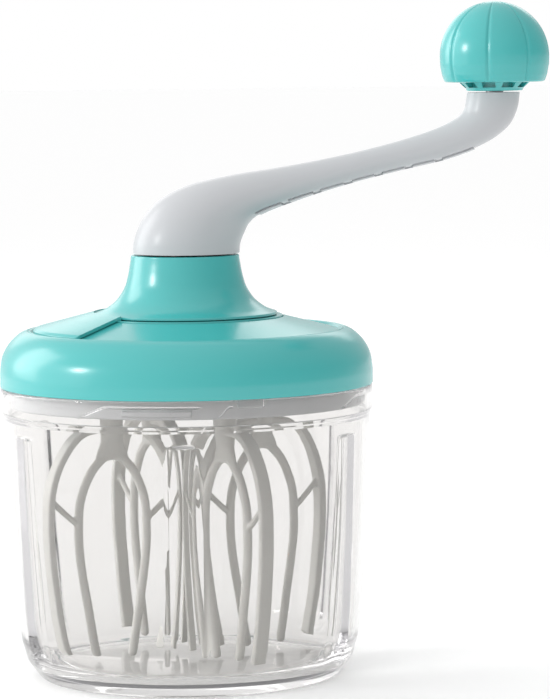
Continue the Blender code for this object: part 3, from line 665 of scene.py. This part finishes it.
class EGGBEATER_OT_gearbox_floor(bpy.types.Operator):
    """Grey floor and skirt of the gearbox, with the lugs that lock under the beaker's ribs"""

    bl_idname = "egg_beater.gearbox_floor"
    bl_label = "Gearbox floor"

    def execute(self, context):
        inside = [
            (0.0, 95.0), (8.3, 95.0), (8.3, 102.0), (11.0, 102.0), (11.0, 95.4), (57.4, 95.4), (57.4, 103.6)
        ]
        outside = [(60.0, 103.6, 0.3), (60.0, 92.9, 0.5), (57.2, 92.9, 0.4), (57.2, 93.3, 0.3), (0.0, 93.3)]
        lug_spans = [(-109.0 + 90.0 * k, -87.0 + 90.0 * k) for k in range(4)]
        edges = [a + d for span in lug_spans for a in span for d in (-0.35, -0.1, 0.1, 0.35)]

        def skirt(angle, r, z):
            if r < 59.0 or not 93.6 < z < 96.3:
                return r
            inside_lug = max(
                min(
                    smoothstep(0.0, 0.4, turn_between(angle, a)),
                    smoothstep(0.0, 0.4, turn_between(b, angle)),
                )
                for a, b in lug_spans
            )
            return r + 0.85 * inside_lug * smoothstep(93.8, 94.2, z) * (1.0 - smoothstep(95.7, 96.1, z))

        profile = fillet(inside + outside, 4)
        fine = []
        for a, b in zip(profile, profile[1:]):
            fine += refine([a, b], 0.35)[:-1] if a.x > 59.5 and b.x > 59.5 else [a]
        floor = lathe("gearbox_floor", [*fine, profile[-1]], even_angles(180, edges), skirt)
        for angle in WHISK_ANGLES:
            outline = [polar(4.3, 360.0 * i / 40) for i in range(40)]
            x, y = polar(WHISK_CIRCLE_R, angle)
            hole = prism("spindle_hole", [(x + a, y + b) for a, b in outline], 90.0, 98.0)
            combine(floor, hole, "DIFFERENCE")
        span = (PORT_SPAN[0] - 1.5, PORT_SPAN[1] + 1.5)
        combine(floor, prism("outlet", sector_outline((42.7, 52.4), span, 1.5), 90.0, 98.0), "DIFFERENCE")
        pale = material_named("moulded_abs_pale_grey")
        finish_piece(floor, pale, "lid", "grey_plastic", "gearbox_base", crease=35.0)
        return {"FINISHED"}


def screw_tree():
    """Geometry nodes: pan-head screws with a cross recess, spaced evenly on a circle."""
    tree = bpy.data.node_groups.new("pan_head_screws", "GeometryNodeTree")
    face = tree.interface
    face.new_socket("Geometry", in_out="INPUT", socket_type="NodeSocketGeometry")
    count = face.new_socket("Count", in_out="INPUT", socket_type="NodeSocketInt")
    circle_r = face.new_socket("Circle radius", in_out="INPUT", socket_type="NodeSocketFloat")
    start = face.new_socket("Start angle", in_out="INPUT", socket_type="NodeSocketFloat")
    low = face.new_socket("Head underside", in_out="INPUT", socket_type="NodeSocketFloat")
    head_r = face.new_socket("Head radius", in_out="INPUT", socket_type="NodeSocketFloat")
    finish = face.new_socket("Material", in_out="INPUT", socket_type="NodeSocketMaterial")
    face.new_socket("Geometry", in_out="OUTPUT", socket_type="NodeSocketGeometry")
    given = add_node(tree, "NodeGroupInput").outputs
    spots = add_node(
        tree, "GeometryNodeMeshCircle", {"Vertices": given["Count"], "Radius": given["Circle radius"]}
    )
    turned = add_node(tree, "ShaderNodeCombineXYZ", {"Z": given["Start angle"]})
    lifted = add_node(tree, "ShaderNodeCombineXYZ", {"Z": given["Head underside"]})
    placed = add_node(
        tree,
        "GeometryNodeTransform",
        {"Geometry": spots.outputs["Mesh"], "Translation": lifted.outputs[0], "Rotation": turned.outputs[0]},
    )
    head = add_node(
        tree,
        "GeometryNodeMeshCone",
        {
            "Vertices": 40,
            "Radius Bottom": given["Head radius"],
            "Radius Top": given["Head radius"],
            "Depth": 0.9 * MM,
        },
    )
    slot_long = add_node(tree, "GeometryNodeMeshCube", {"Size": (3.4 * MM, 0.6 * MM, 0.9 * MM)})
    slot_cross = add_node(tree, "GeometryNodeMeshCube", {"Size": (0.6 * MM, 3.4 * MM, 0.9 * MM)})
    recess = add_node(tree, "GeometryNodeMeshBoolean", operation="UNION", solver="EXACT")
    for slot in (slot_long, slot_cross):
        tree.links.new(slot.outputs["Mesh"], recess.inputs["Mesh 2"])
    sunk = add_node(
        tree,
        "GeometryNodeTransform",
        {"Geometry": recess.outputs["Mesh"], "Translation": (0.0, 0.0, -0.1 * MM)},
    )
    cut = add_node(tree, "GeometryNodeMeshBoolean", operation="DIFFERENCE", solver="EXACT")
    tree.links.new(head.outputs["Mesh"], cut.inputs["Mesh 1"])
    tree.links.new(sunk.outputs["Geometry"], cut.inputs["Mesh 2"])
    raised = add_node(
        tree, "GeometryNodeTransform", {"Geometry": cut.outputs["Mesh"], "Translation": (0.0, 0.0, 0.1 * MM)}
    )
    copies = add_node(
        tree,
        "GeometryNodeInstanceOnPoints",
        {"Points": placed.outputs["Geometry"], "Instance": raised.outputs["Geometry"]},
    )
    real = add_node(tree, "GeometryNodeRealizeInstances", {"Geometry": copies.outputs["Instances"]})
    painted = add_node(
        tree, "GeometryNodeSetMaterial", {"Geometry": real.outputs["Geometry"], "Material": given["Material"]}
    )
    out = add_node(tree, "NodeGroupOutput")
    tree.links.new(painted.outputs["Geometry"], out.inputs["Geometry"])
    sockets = {"count": count, "circle": circle_r, "start": start}
    return tree, sockets | {"low": low, "head": head_r, "finish": finish}


class EGGBEATER_OT_screws(bpy.types.Operator):
    """Heads of the screws that hold the gearbox floor, seen from below"""

    bl_idname = "egg_beater.screws"
    bl_label = "Screws"

    def execute(self, context):
        tree, sockets = screw_tree()
        steel = material_named("turned_steel")
        heads = new_object("floor_screw_heads", bpy.data.meshes.new("floor_screw_heads"))
        settings = {
            "count": 4,
            "circle": 50.0 * MM,
            "start": radians(45.0),
            "low": 93.3 * MM,
            "head": 2.9 * MM,
            "finish": steel,
        }
        run_tree(heads, tree, sockets, settings)
        names = [f"lid_screw_{k}" for k in range(1, 5)]
        finish_piece(heads, steel, "lid", "steel", *names, crease=30.0)
        return {"FINISHED"}


# ---------------------------------------------------------------- whisks


OUTER_LINE = (
    (0.0, 85.3),
    (4.2, 85.3),
    (9.6, 84.9),
    (13.6, 83.1),
    (17.0, 79.8),
    (20.3, 74.8),
    (22.6, 69.2),
    (24.0, 62.4),
    (24.3, 54.6),
    (24.0, 45.0),
    (22.9, 34.0),
    (21.2, 22.0),
    (18.4, 8.8),
)
INNER_LINE = (
    (0.0, 76.4),
    (2.6, 76.0),
    (5.6, 73.9),
    (8.6, 70.4),
    (11.2, 65.2),
    (12.7, 60.0),
    (13.15, 53.0),
    (13.0, 45.0),
    (11.9, 36.0),
    (10.1, 26.0),
    (8.6, 17.0),
    (7.0, 8.6),
)


def add_sweep(work, path, section, closed_ends=True):
    """Sweeps a section along a path in the XZ plane. section(i) lists (across, depth) points, with depth
    along Y."""
    rings = []
    for i, point in enumerate(path):
        ahead, behind = path[min(i + 1, len(path) - 1)], path[max(i - 1, 0)]
        along = (ahead - behind).normalized()
        across = Vector((-along.y, along.x))
        ring = []
        for a, depth in section(i):
            spot = point + across * a
            ring.append(work.verts.new((spot.x * MM, depth * MM, spot.y * MM)))
        rings.append(ring)
    for lower, upper in zip(rings, rings[1:]):
        for i in range(len(lower)):
            j = (i + 1) % len(lower)
            work.faces.new((lower[i], lower[j], upper[j], upper[i]))
    if closed_ends:
        work.faces.new(rings[0][::-1])
        work.faces.new(rings[-1])


def mirrored(path):
    return [Vector((-p.x, p.y)) for p in reversed(path[1:])] + list(path)


def oval(half_a, half_b, sides=20):
    return [(half_a * cos(2 * pi * k / sides), half_b * sin(2 * pi * k / sides)) for k in range(sides)]


def rounded_bar(half_a, half_b, corner):
    signs = ((1, 1), (-1, 1), (-1, -1), (1, -1))
    corners = [(a * half_a, b * half_b, corner) for a, b in signs]
    return [tuple(p) for p in fillet(corners, 4, closed=True)]


def add_ball(work, x, z, radius):
    place = Matrix.Translation((x * MM, 0.0, z * MM))
    bmesh.ops.create_uvsphere(work, u_segments=20, v_segments=12, radius=radius * MM, matrix=place)


def whisk_shells():
    """The whisk's rods as separate closed shells, in its own upright plane."""
    work = bmesh.new()
    outer = mirrored(smooth_curve(OUTER_LINE, 6))
    add_sweep(work, outer, lambda i: rounded_bar(1.2, 2.45, 0.45))
    inner = mirrored(smooth_curve(INNER_LINE, 6))
    add_sweep(work, inner, lambda i: oval(1.55, 1.55))
    for side in (-1.0, 1.0):
        add_ball(work, side * INNER_LINE[-1][0], INNER_LINE[-1][1], 1.55)
        brace = [Vector((side * a, z)) for a, z in ((12.9, 53.6), (16.0, 56.0), (20.0, 59.6), (23.8, 63.4))]
        add_sweep(work, brace, lambda i: oval(1.05, 1.05, 14))
    blade = [Vector((0.0, z)) for z in (91.6, 88.0, 84.0, 81.0, 79.0, 77.2, 75.6)]
    halves = (3.9, 3.9, 3.9, 4.1, 4.9, 5.9, 6.4)
    depths = (3.9, 3.9, 3.4, 2.6, 2.1, 1.8, 1.5)
    add_sweep(work, blade, lambda i: oval(halves[i], depths[i], 32))
    return mesh_from(work, "whisk_shells")


class EGGBEATER_OT_whisks(bpy.types.Operator):
    """Four flat whisks, each an outer strip, an inner fork and two braces melted together as in the mould"""

    bl_idname = "egg_beater.whisks"
    bl_label = "Whisks"

    def execute(self, context):
        source = new_object("whisk_source", whisk_shells())
        melt = source.modifiers.new("Melt", "REMESH")
        melt.mode = "VOXEL"
        melt.voxel_size = context.scene.egg_beater_sizes.whisk_voxel
        melt.use_smooth_shade = True
        soften = source.modifiers.new("Soften", "SMOOTH")
        soften.factor = 0.5
        soften.iterations = 3
        melted = evaluated_mesh(source)
        bpy.data.objects.remove(source)
        nylon = material_named("moulded_nylon_grey")
        for number, angle in enumerate(WHISK_ANGLES, 1):
            mesh = melted.copy()
            x, y = polar(WHISK_CIRCLE_R * MM, angle)
            turn = Matrix.Rotation(radians(angle + WHISK_TWIST), 4, "Z")
            mesh.transform(Matrix.Translation((x, y, 0.0)) @ turn)
            whisk = new_object(f"whisk_frame_{number}", mesh)
            finish_piece(whisk, nylon, f"whisk_drive_{number}", "whisk_nylon", f"whisk_{number}", crease=60.0)
        bpy.data.meshes.remove(melted)
        return {"FINISHED"}


# ---------------------------------------------------------------- crank arm


# The two ends of each of the arm's oval sections in the XZ plane, (x, z) above then below, and half its
# width along Y.
ARM_SECTIONS = (
    (-17.7, 143.9, 18.6, 143.9, 18.0),
    (-17.4, 147.5, 18.9, 147.0, 18.0),
    (-16.2, 151.7, 20.2, 150.4, 17.6),
    (-13.3, 157.0, 22.0, 153.8, 16.7),
    (-8.0, 162.3, 25.0, 156.4, 15.4),
    (1.8, 167.0, 29.5, 158.6, 13.6),
    (15.6, 170.1, 35.6, 160.8, 11.4),
    (29.0, 172.1, 42.6, 163.2, 9.7),
    (43.0, 174.4, 49.8, 165.4, 8.5),
    (58.2, 177.4, 60.9, 168.5, 7.8),
    (72.4, 180.9, 75.2, 171.9, 7.6),
    (84.4, 184.6, 90.0, 175.3, 8.0),
    (91.6, 187.9, 102.2, 179.9, 8.7),
    (95.0, 191.0, 110.0, 185.4, 9.0),
    (95.9, 194.0, 113.3, 191.4, 9.1),
    (96.4, 197.2, 114.2, 197.2, 9.0),
)
SEAM_FIRST, SEAM_LAST = 26.0, 99.0  # where the cover starts and ends along X
TAB_WIDE, TAB_NARROW = 29.0, 8.0  # degrees either side of the underside's middle


def arm_curve(per_span):
    return smooth_curve(ARM_SECTIONS, per_span)


def section_point(section, turn):
    """A point on the arm's skin. turn is in degrees, with 0 on top and 180 underneath."""
    a, b = Vector((section[0], 0.0, section[1])), Vector((section[2], 0.0, section[3]))
    centre, reach = (a + b) / 2, (a - b) / 2
    t = radians(turn)
    return centre + reach * cos(t) + Vector((0.0, section[4] * sin(t), 0.0))


def seam_steps(pitch):
    """The short stretches along X where the seam steps in towards the underside's middle."""
    steps = []
    x = SEAM_FIRST + pitch
    while x < SEAM_LAST - 2.0:
        steps.append((x - 2.2, x))
        x += pitch
    return steps


def seam_angle(x, steps):
    return TAB_NARROW if any(a < x < b for a, b in steps) else TAB_WIDE


def stations_at(sections, places):
    """The sections, with more added where the underside stands at the given places along X."""
    found = []
    for a, b in zip(sections, sections[1:]):
        found.append(a)
        for place in sorted(places):
            if a[2] < place < b[2]:
                found.append(a.lerp(b, (place - a[2]) / (b[2] - a[2])))
    return [*found, sections[-1]]


class EGGBEATER_OT_arm(bpy.types.Operator):
    """Moulded crank arm, and the cover that closes its underside along a stepped seam"""

    bl_idname = "egg_beater.arm"
    bl_label = "Crank arm"

    def execute(self, context):
        sizes = context.scene.egg_beater_sizes
        gap, pitch = sizes.seam / MM, sizes.tab_pitch / MM
        steps = seam_steps(pitch)
        hair = 0.02  # how close two sections stand where the seam steps
        places = [SEAM_FIRST, SEAM_FIRST + hair, SEAM_LAST - hair, SEAM_LAST]
        places += [SEAM_FIRST + gap, SEAM_LAST - gap]
        for a, b in steps:
            places += [a, a + hair, a - gap, b, b - hair, b + gap]
        sections = stations_at(arm_curve(7), places)
        turns = sorted(
            {round(5.0 * k, 3) for k in range(73)}
            | {
                round(180.0 + side * (edge + d), 3)
                for side in (-1, 1)
                for edge in (TAB_WIDE, TAB_NARROW)
                for d in (-2.0, -0.05, 0.0)
            }
        )[:-1]

        def in_cover(x, turn, shrink):
            if not SEAM_FIRST + shrink < x < SEAM_LAST - shrink:
                return False
            grown = [(a - shrink, b + shrink) for a, b in steps]
            return abs(turn - 180.0) < seam_angle(x, grown) - (2.0 if shrink else 0.0) + 1e-6

        arm = self.skin(sections, turns, in_cover)
        bore = prism("hub_bore", [polar(6.4, 360.0 * i / 48) for i in range(48)], 140.0, 157.4)
        combine(arm, bore, "DIFFERENCE")
        bevel(arm, 0.35, 3, 60.0)
        grey = material_named("moulded_abs_grey")
        finish_piece(arm, grey, "crank", "grey_plastic", "crank_arm", crease=32.0)
        cover = self.cover(sections, turns, in_cover, gap)
        finish_piece(cover, grey, "crank", "grey_plastic", "arm_cover", crease=32.0)
        return {"FINISHED"}

    def skin(self, sections, turns, in_cover):
        """The arm's closed skin, sunk where the cover lies."""
        work = bmesh.new()
        rings = []
        for section in sections:
            middle = section_point(section, 0.0).lerp(section_point(section, 180.0), 0.5)
            ring = []
            for turn in turns:
                spot = section_point(section, turn)
                if in_cover(section[2], turn, 0.0):
                    spot = spot.lerp(middle, 0.9 / max(3.0, (spot - middle).length))
                ring.append(work.verts.new(spot * MM))
            rings.append(ring)
        for lower, upper in zip(rings, rings[1:]):
            for i in range(len(turns)):
                j = (i + 1) % len(turns)
                work.faces.new((lower[i], lower[j], upper[j], upper[i]))
        work.faces.new(rings[0])
        work.faces.new(rings[-1][::-1])
        return new_object("crank_arm_skin", mesh_from(work, "crank_arm_skin"))

    def cover(self, sections, turns, in_cover, gap):
        """The thin cover, whose edge steps in and out a gap's width inside the arm's recess."""
        work = bmesh.new()
        grid = {}
        for i, section in enumerate(sections):
            middle = section_point(section, 0.0).lerp(section_point(section, 180.0), 0.5)
            for j, turn in enumerate(turns):
                spot = section_point(section, turn)
                grid[i, j] = spot.lerp(middle, 0.12 / max(3.0, (spot - middle).length))
        verts = {}

        def vert(key):
            if key not in verts:
                verts[key] = work.verts.new(grid[key] * MM)
            return verts[key]

        for i in range(len(sections) - 1):
            x = (sections[i][2] + sections[i + 1][2]) / 2
            for j in range(len(turns) - 1):
                if in_cover(x, (turns[j] + turns[j + 1]) / 2, gap):
                    work.faces.new([vert(k) for k in ((i, j), (i, j + 1), (i + 1, j + 1), (i + 1, j))])
        cover = new_object("arm_underside_cover", mesh_from(work, "arm_underside_cover"))
        wall = cover.modifiers.new("Wall", "SOLIDIFY")
        wall.thickness = 0.6 * MM
        wall.offset = -1.0
        wall.use_even_offset = True
        apply_modifiers(cover)
        return cover


# ---------------------------------------------------------------- knob


KNOB_R = 18.5
KNOB_CENTRE_Z = 209.4
GROOVE_START = -100.5


class EGGBEATER_OT_knob(bpy.types.Operator):
    """Domed grip with eight grooves that meet at its top"""

    bl_idname = "egg_beater.knob"
    bl_label = "Knob"

    def execute(self, context):
        depth = context.scene.egg_beater_sizes.knob_groove / MM
        dome = []
        for step in range(33):
            angle = radians(90.0 - 90.0 * step / 32)
            dome.append((KNOB_R * cos(angle) if step else 0.0, KNOB_CENTRE_Z + KNOB_R * sin(angle)))
        skirt = [
            (18.4, 206.4, 8.0), (17.8, 203.2, 4.0), (16.9, 200.7, 1.2), (14.0, 200.55), (12.6, 200.55, 0.3)
        ]
        hollow = [
            (12.6, 203.0, 0.3), (15.8, 204.4), (16.8, 209.0), (15.6, 215.5), (13.0, 220.4), (8.0, 224.6)
        ]
        lower = fillet([dome[-1], *skirt, *hollow, (0.0, 226.2)], 6)[1:]
        profile = [Vector(p) for p in dome] + refine(lower, 1.6)
        reaches = (-1.7, -1.2, -0.85, -0.6, -0.4, -0.2, 0.0, 0.2, 0.4, 0.6, 0.85, 1.2, 1.7)
        extra = [GROOVE_START + 45.0 * k + reach / KNOB_R * 180.0 / pi for k in range(8) for reach in reaches]

        def grooved(angle, r, z):
            if r < 2.2 or z < 200.8 or (hypot(r, z - KNOB_CENTRE_Z) < 17.4 and r < 16.4):
                return r
            off = min(abs(turn_between(angle, GROOVE_START + 45.0 * k)) for k in range(8))
            arc = radians(off) * KNOB_R
            fade = smoothstep(2.2, 5.0, r) * smoothstep(200.7, 201.8, z)
            return r - depth * fade * exp(-((arc / 0.6) ** 2))

        knob = lathe("knob_dome", profile, even_angles(128, extra), grooved, centre=(KNOB_X, 0.0))
        teal = material_named("moulded_abs_teal")
        finish_piece(knob, teal, "knob", "teal_plastic", "knob_shell", crease=40.0)
        return {"FINISHED"}


def window_tree():
    """Geometry nodes: a ring of blocks that face outwards, to cut the collar's windows."""
    tree = bpy.data.node_groups.new("collar_windows", "GeometryNodeTree")
    face = tree.interface
    face.new_socket("Geometry", in_out="INPUT", socket_type="NodeSocketGeometry")
    count = face.new_socket("Count", in_out="INPUT", socket_type="NodeSocketInt")
    ring_r = face.new_socket("Ring radius", in_out="INPUT", socket_type="NodeSocketFloat")
    size = face.new_socket("Window size", in_out="INPUT", socket_type="NodeSocketVector")
    centre = face.new_socket("Centre", in_out="INPUT", socket_type="NodeSocketVector")
    turn = face.new_socket("Turn", in_out="INPUT", socket_type="NodeSocketVector")
    finish = face.new_socket("Material", in_out="INPUT", socket_type="NodeSocketMaterial")
    face.new_socket("Geometry", in_out="OUTPUT", socket_type="NodeSocketGeometry")
    given = add_node(tree, "NodeGroupInput").outputs
    spots = add_node(
        tree, "GeometryNodeMeshCircle", {"Vertices": given["Count"], "Radius": given["Ring radius"]}
    )
    block = add_node(tree, "GeometryNodeMeshCube", {"Size": given["Window size"]})
    outwards = add_node(tree, "GeometryNodeInputPosition")
    facing = add_node(
        tree, "FunctionNodeAlignRotationToVector", {"Vector": outwards.outputs[0]}, axis="X", pivot_axis="Z"
    )
    copies = add_node(
        tree,
        "GeometryNodeInstanceOnPoints",
        {"Points": spots.outputs["Mesh"], "Instance": block.outputs["Mesh"], "Rotation": facing.outputs[0]},
    )
    real = add_node(tree, "GeometryNodeRealizeInstances", {"Geometry": copies.outputs["Instances"]})
    placed = add_node(
        tree,
        "GeometryNodeTransform",
        {"Geometry": real.outputs["Geometry"], "Translation": given["Centre"], "Rotation": given["Turn"]},
    )
    painted = add_node(
        tree,
        "GeometryNodeSetMaterial",
        {"Geometry": placed.outputs["Geometry"], "Material": given["Material"]},
    )
    out = add_node(tree, "NodeGroupOutput")
    tree.links.new(painted.outputs["Geometry"], out.inputs["Geometry"])
    sockets = {"count": count, "radius": ring_r, "size": size}
    return tree, sockets | {"centre": centre, "turn": turn, "finish": finish}


class EGGBEATER_OT_collar(bpy.types.Operator):
    """Tapered collar under the knob, with windows between its ribs"""

    bl_idname = "egg_beater.collar"
    bl_label = "Collar"

    def execute(self, context):
        teal = material_named("moulded_abs_teal")
        cone = [(3.3, 206.6), (8.0, 206.6, 0.3), (12.0, 204.0, 0.5), (11.9, 200.5, 0.2), (9.7, 198.45, 0.2)]
        cone += [(9.5, 197.75, 0.25), (3.3, 197.6)]
        centre = (KNOB_X, 0.0)
        collar = lathe("knob_collar_cone", fillet(cone, 4), even_angles(120), closed=True, centre=centre)
        tree, sockets = window_tree()
        windows = new_object("collar_windows", bpy.data.meshes.new("collar_windows"))
        settings = {
            "count": 10,
            "radius": 10.4 * MM,
            "size": (4.6 * MM, 4.5 * MM, 1.75 * MM),
            "centre": (KNOB_X * MM, 0.0, 199.7 * MM),
            "turn": (0.0, 0.0, radians(4.0)),
            "finish": teal,
        }
        run_tree(windows, tree, sockets, settings)
        combine(collar, windows, "DIFFERENCE")
        finish_piece(collar, teal, "knob", "teal_plastic", "knob_collar", crease=35.0)
        return {"FINISHED"}


# ---------------------------------------------------------------- inner fittings


class EGGBEATER_OT_fittings(bpy.types.Operator):
    """Gears, shaft, spindles, bushes and washers, which keep their shapes and get their finishes"""

    bl_idname = "egg_beater.fittings"
    bl_label = "Inner fittings"

    def execute(self, context):
        finishes = {"white_acetal": "machined_acetal_white", "steel": "turned_steel"}
        slots = {entry["node"]: entry["material_slot"] for entry in frame["record"]["subparts"]}
        for name, node in frame["nodes"].items():
            if node.hide_render or slots.get(name) not in finishes:
                continue
            node.data.materials.clear()
            node.data.materials.append(material_named(finishes[slots[name]]))
        return {"FINISHED"}


# ---------------------------------------------------------------- stage


def aim(obj, target):
    obj.rotation_euler = (Vector(target) - obj.location).to_track_quat("-Z", "Y").to_euler()


def area_light(name, place, size, power, target=(0.02, 0.0, 0.11), colour=(1.0, 1.0, 1.0)):
    light = bpy.data.lights.new(name, "AREA")
    light.shape = "RECTANGLE"
    light.size, light.size_y = size
    light.energy = power
    light.color = colour
    lamp = bpy.data.objects.new(name, light)
    bpy.context.scene.collection.objects.link(lamp)
    lamp.location = place
    aim(lamp, target)
    return lamp


BRIGHT_SIDE = Vector((-0.82, 0.05, 0.5))  # where the tent is brightest
SEEN_THROUGH_WHITE = 0.28  # how far the tent turns white for light that has passed through the beaker


def studio_world():
    """White surroundings, darker low on the right than high on the left, as in a tent lit from one side."""
    world = bpy.data.worlds.new("studio_tent")
    bpy.context.scene.world = world
    world.use_nodes = True
    tree = world.node_tree
    tree.nodes.clear()
    way = add_node(tree, "ShaderNodeTexCoord").outputs["Generated"]
    facing = add_node(
        tree, "ShaderNodeVectorMath", {0: way, 1: BRIGHT_SIDE.normalized()}, operation="DOT_PRODUCT"
    )
    level = add_node(
        tree,
        "ShaderNodeMapRange",
        {"Value": facing.outputs["Value"], "From Min": -1.0, "From Max": 1.0, "To Min": 0.27, "To Max": 1.24},
    )
    path = add_node(tree, "ShaderNodeLightPath")
    through = add_node(
        tree,
        "ShaderNodeMath",
        {0: path.outputs["Is Transmission Ray"], 1: SEEN_THROUGH_WHITE},
        operation="MULTIPLY",
    )
    direct = add_node(
        tree, "ShaderNodeMath", {0: through.outputs[0], 1: path.outputs["Is Camera Ray"]}, operation="MAXIMUM"
    )
    seen = add_node(
        tree, "ShaderNodeMix", {"Factor": direct.outputs[0], "A": level.outputs["Result"], "B": 1.0}
    )
    back = add_node(
        tree, "ShaderNodeBackground", {"Color": (1.0, 1.0, 1.0, 1.0), "Strength": seen.outputs["Result"]}
    )
    out = add_node(tree, "ShaderNodeOutputWorld")
    tree.links.new(back.outputs["Background"], out.inputs["Surface"])


def stage_floor():
    """A wide, plain white table."""
    work = bmesh.new()
    bmesh.ops.create_grid(work, x_segments=4, y_segments=4, size=30.0)
    mesh = bpy.data.meshes.new("table_top")
    work.to_mesh(mesh)
    work.free()
    floor = new_object("table_top", mesh)
    floor.location.z = -0.0002
    material = bpy.data.materials.new("matt_white_board")
    material.use_nodes = True
    tree = material.node_tree
    shader = tree.nodes["Principled BSDF"]
    place = add_node(tree, "ShaderNodeTexCoord").outputs["Object"]
    grain = add_node(tree, "ShaderNodeTexNoise", {"Vector": place, "Scale": per_metre(60.0), "Detail": 2.0})
    tone = add_node(
        tree,
        "ShaderNodeMix",
        {"Factor": grain.outputs["Fac"], "A": (0.94, 0.94, 0.94, 1.0), "B": (0.96, 0.96, 0.96, 1.0)},
        data_type="RGBA",
    )
    tree.links.new(tone.outputs["Result"], shader.inputs["Base Color"])
    shader.inputs["Roughness"].default_value = 0.9
    shader.inputs["Specular IOR Level"].default_value = 0.1
    shader.inputs["Emission Color"].default_value = (1.0, 1.0, 1.0, 1.0)
    shader.inputs["Emission Strength"].default_value = 0.11
    floor.data.materials.append(material)


def studio_camera():
    """A long lens a little above the lid, tipped down and turned slightly clockwise."""
    pitch, roll = radians(4.81), radians(0.66)
    forward = Vector((0.0, cos(pitch), -sin(pitch)))
    level_up, level_right = Vector((0.0, sin(pitch), cos(pitch))), Vector((1.0, 0.0, 0.0))
    right = level_right * cos(roll) - level_up * sin(roll)
    up = level_right * sin(roll) + level_up * cos(roll)
    turn = Matrix((right, up, -forward)).transposed()
    camera = bpy.data.objects.new("camera", bpy.data.cameras.new("camera"))
    bpy.context.scene.collection.objects.link(camera)
    camera.matrix_world = Matrix.Translation((0.03026, -1.1467, 0.2070)) @ turn.to_4x4()
    camera.data.sensor_fit = "VERTICAL"
    camera.data.sensor_height = 36.0
    camera.data.lens = 173.71
    camera.data.clip_start = 0.05
    bpy.context.scene.camera = camera


class EGGBEATER_OT_stage(bpy.types.Operator):
    """White table, tent light, lamps and camera"""

    bl_idname = "egg_beater.stage"
    bl_label = "Stage"

    def execute(self, context):
        studio_camera()
        studio_world()
        stage_floor()
        area_light("key_lamp", (-1.35, -0.52, 0.62), (0.16, 0.22), 3.4)
        area_light("left_panel", (-1.5, 0.75, 0.7), (0.9, 1.2), 8.5)
        area_light("back_panel", (0.42, 1.55, 0.78), (0.7, 0.34), 1.0)
        area_light("back_left_panel", (-0.4, 1.6, 0.6), (0.8, 0.5), 1.0)
        area_light("left_front_panel", (-1.7, -0.2, 0.35), (1.5, 1.3), 3.2)
        context.scene.view_settings.view_transform = "Standard"
        light_paths = context.scene.cycles
        light_paths.max_bounces = 32
        light_paths.glossy_bounces = 24
        light_paths.transmission_bounces = 32
        return {"FINISHED"}


# ---------------------------------------------------------------- panel and registration


STEPS = (
    EGGBEATER_OT_beaker,
    EGGBEATER_OT_cover,
    EGGBEATER_OT_neck,
    EGGBEATER_OT_shutter,
    EGGBEATER_OT_gearbox_floor,
    EGGBEATER_OT_screws,
    EGGBEATER_OT_whisks,
    EGGBEATER_OT_arm,
    EGGBEATER_OT_knob,
    EGGBEATER_OT_collar,
    EGGBEATER_OT_fittings,
    EGGBEATER_OT_stage,
)


class EGGBEATER_PT_panel(bpy.types.Panel):
    """Lists the pieces and their settings"""

    bl_idname = "EGGBEATER_PT_panel"
    bl_label = "Egg beater"
    bl_space_type = "VIEW_3D"
    bl_region_type = "UI"
    bl_category = "Egg beater"

    def draw(self, context):
        for group in (context.scene.egg_beater_colours, context.scene.egg_beater_sizes):
            for key in group.__annotations__:
                self.layout.prop(group, key)
        for step in STEPS:
            self.layout.operator(step.bl_idname)


CLASSES = (EggBeaterColours, EggBeaterSizes, *STEPS, EGGBEATER_PT_panel)


def register():
    for item in CLASSES:
        bpy.utils.register_class(item)
    bpy.types.Scene.egg_beater_colours = bpy.props.PointerProperty(type=EggBeaterColours)
    bpy.types.Scene.egg_beater_sizes = bpy.props.PointerProperty(type=EggBeaterSizes)


def unregister():
    del bpy.types.Scene.egg_beater_sizes
    del bpy.types.Scene.egg_beater_colours
    for item in reversed(CLASSES):
        bpy.utils.unregister_class(item)


def main():
    register()
    for step in STEPS:
        group, name = step.bl_idname.split(".")
        getattr(getattr(bpy.ops, group), name)()


if __name__ == "__main__":
    main()
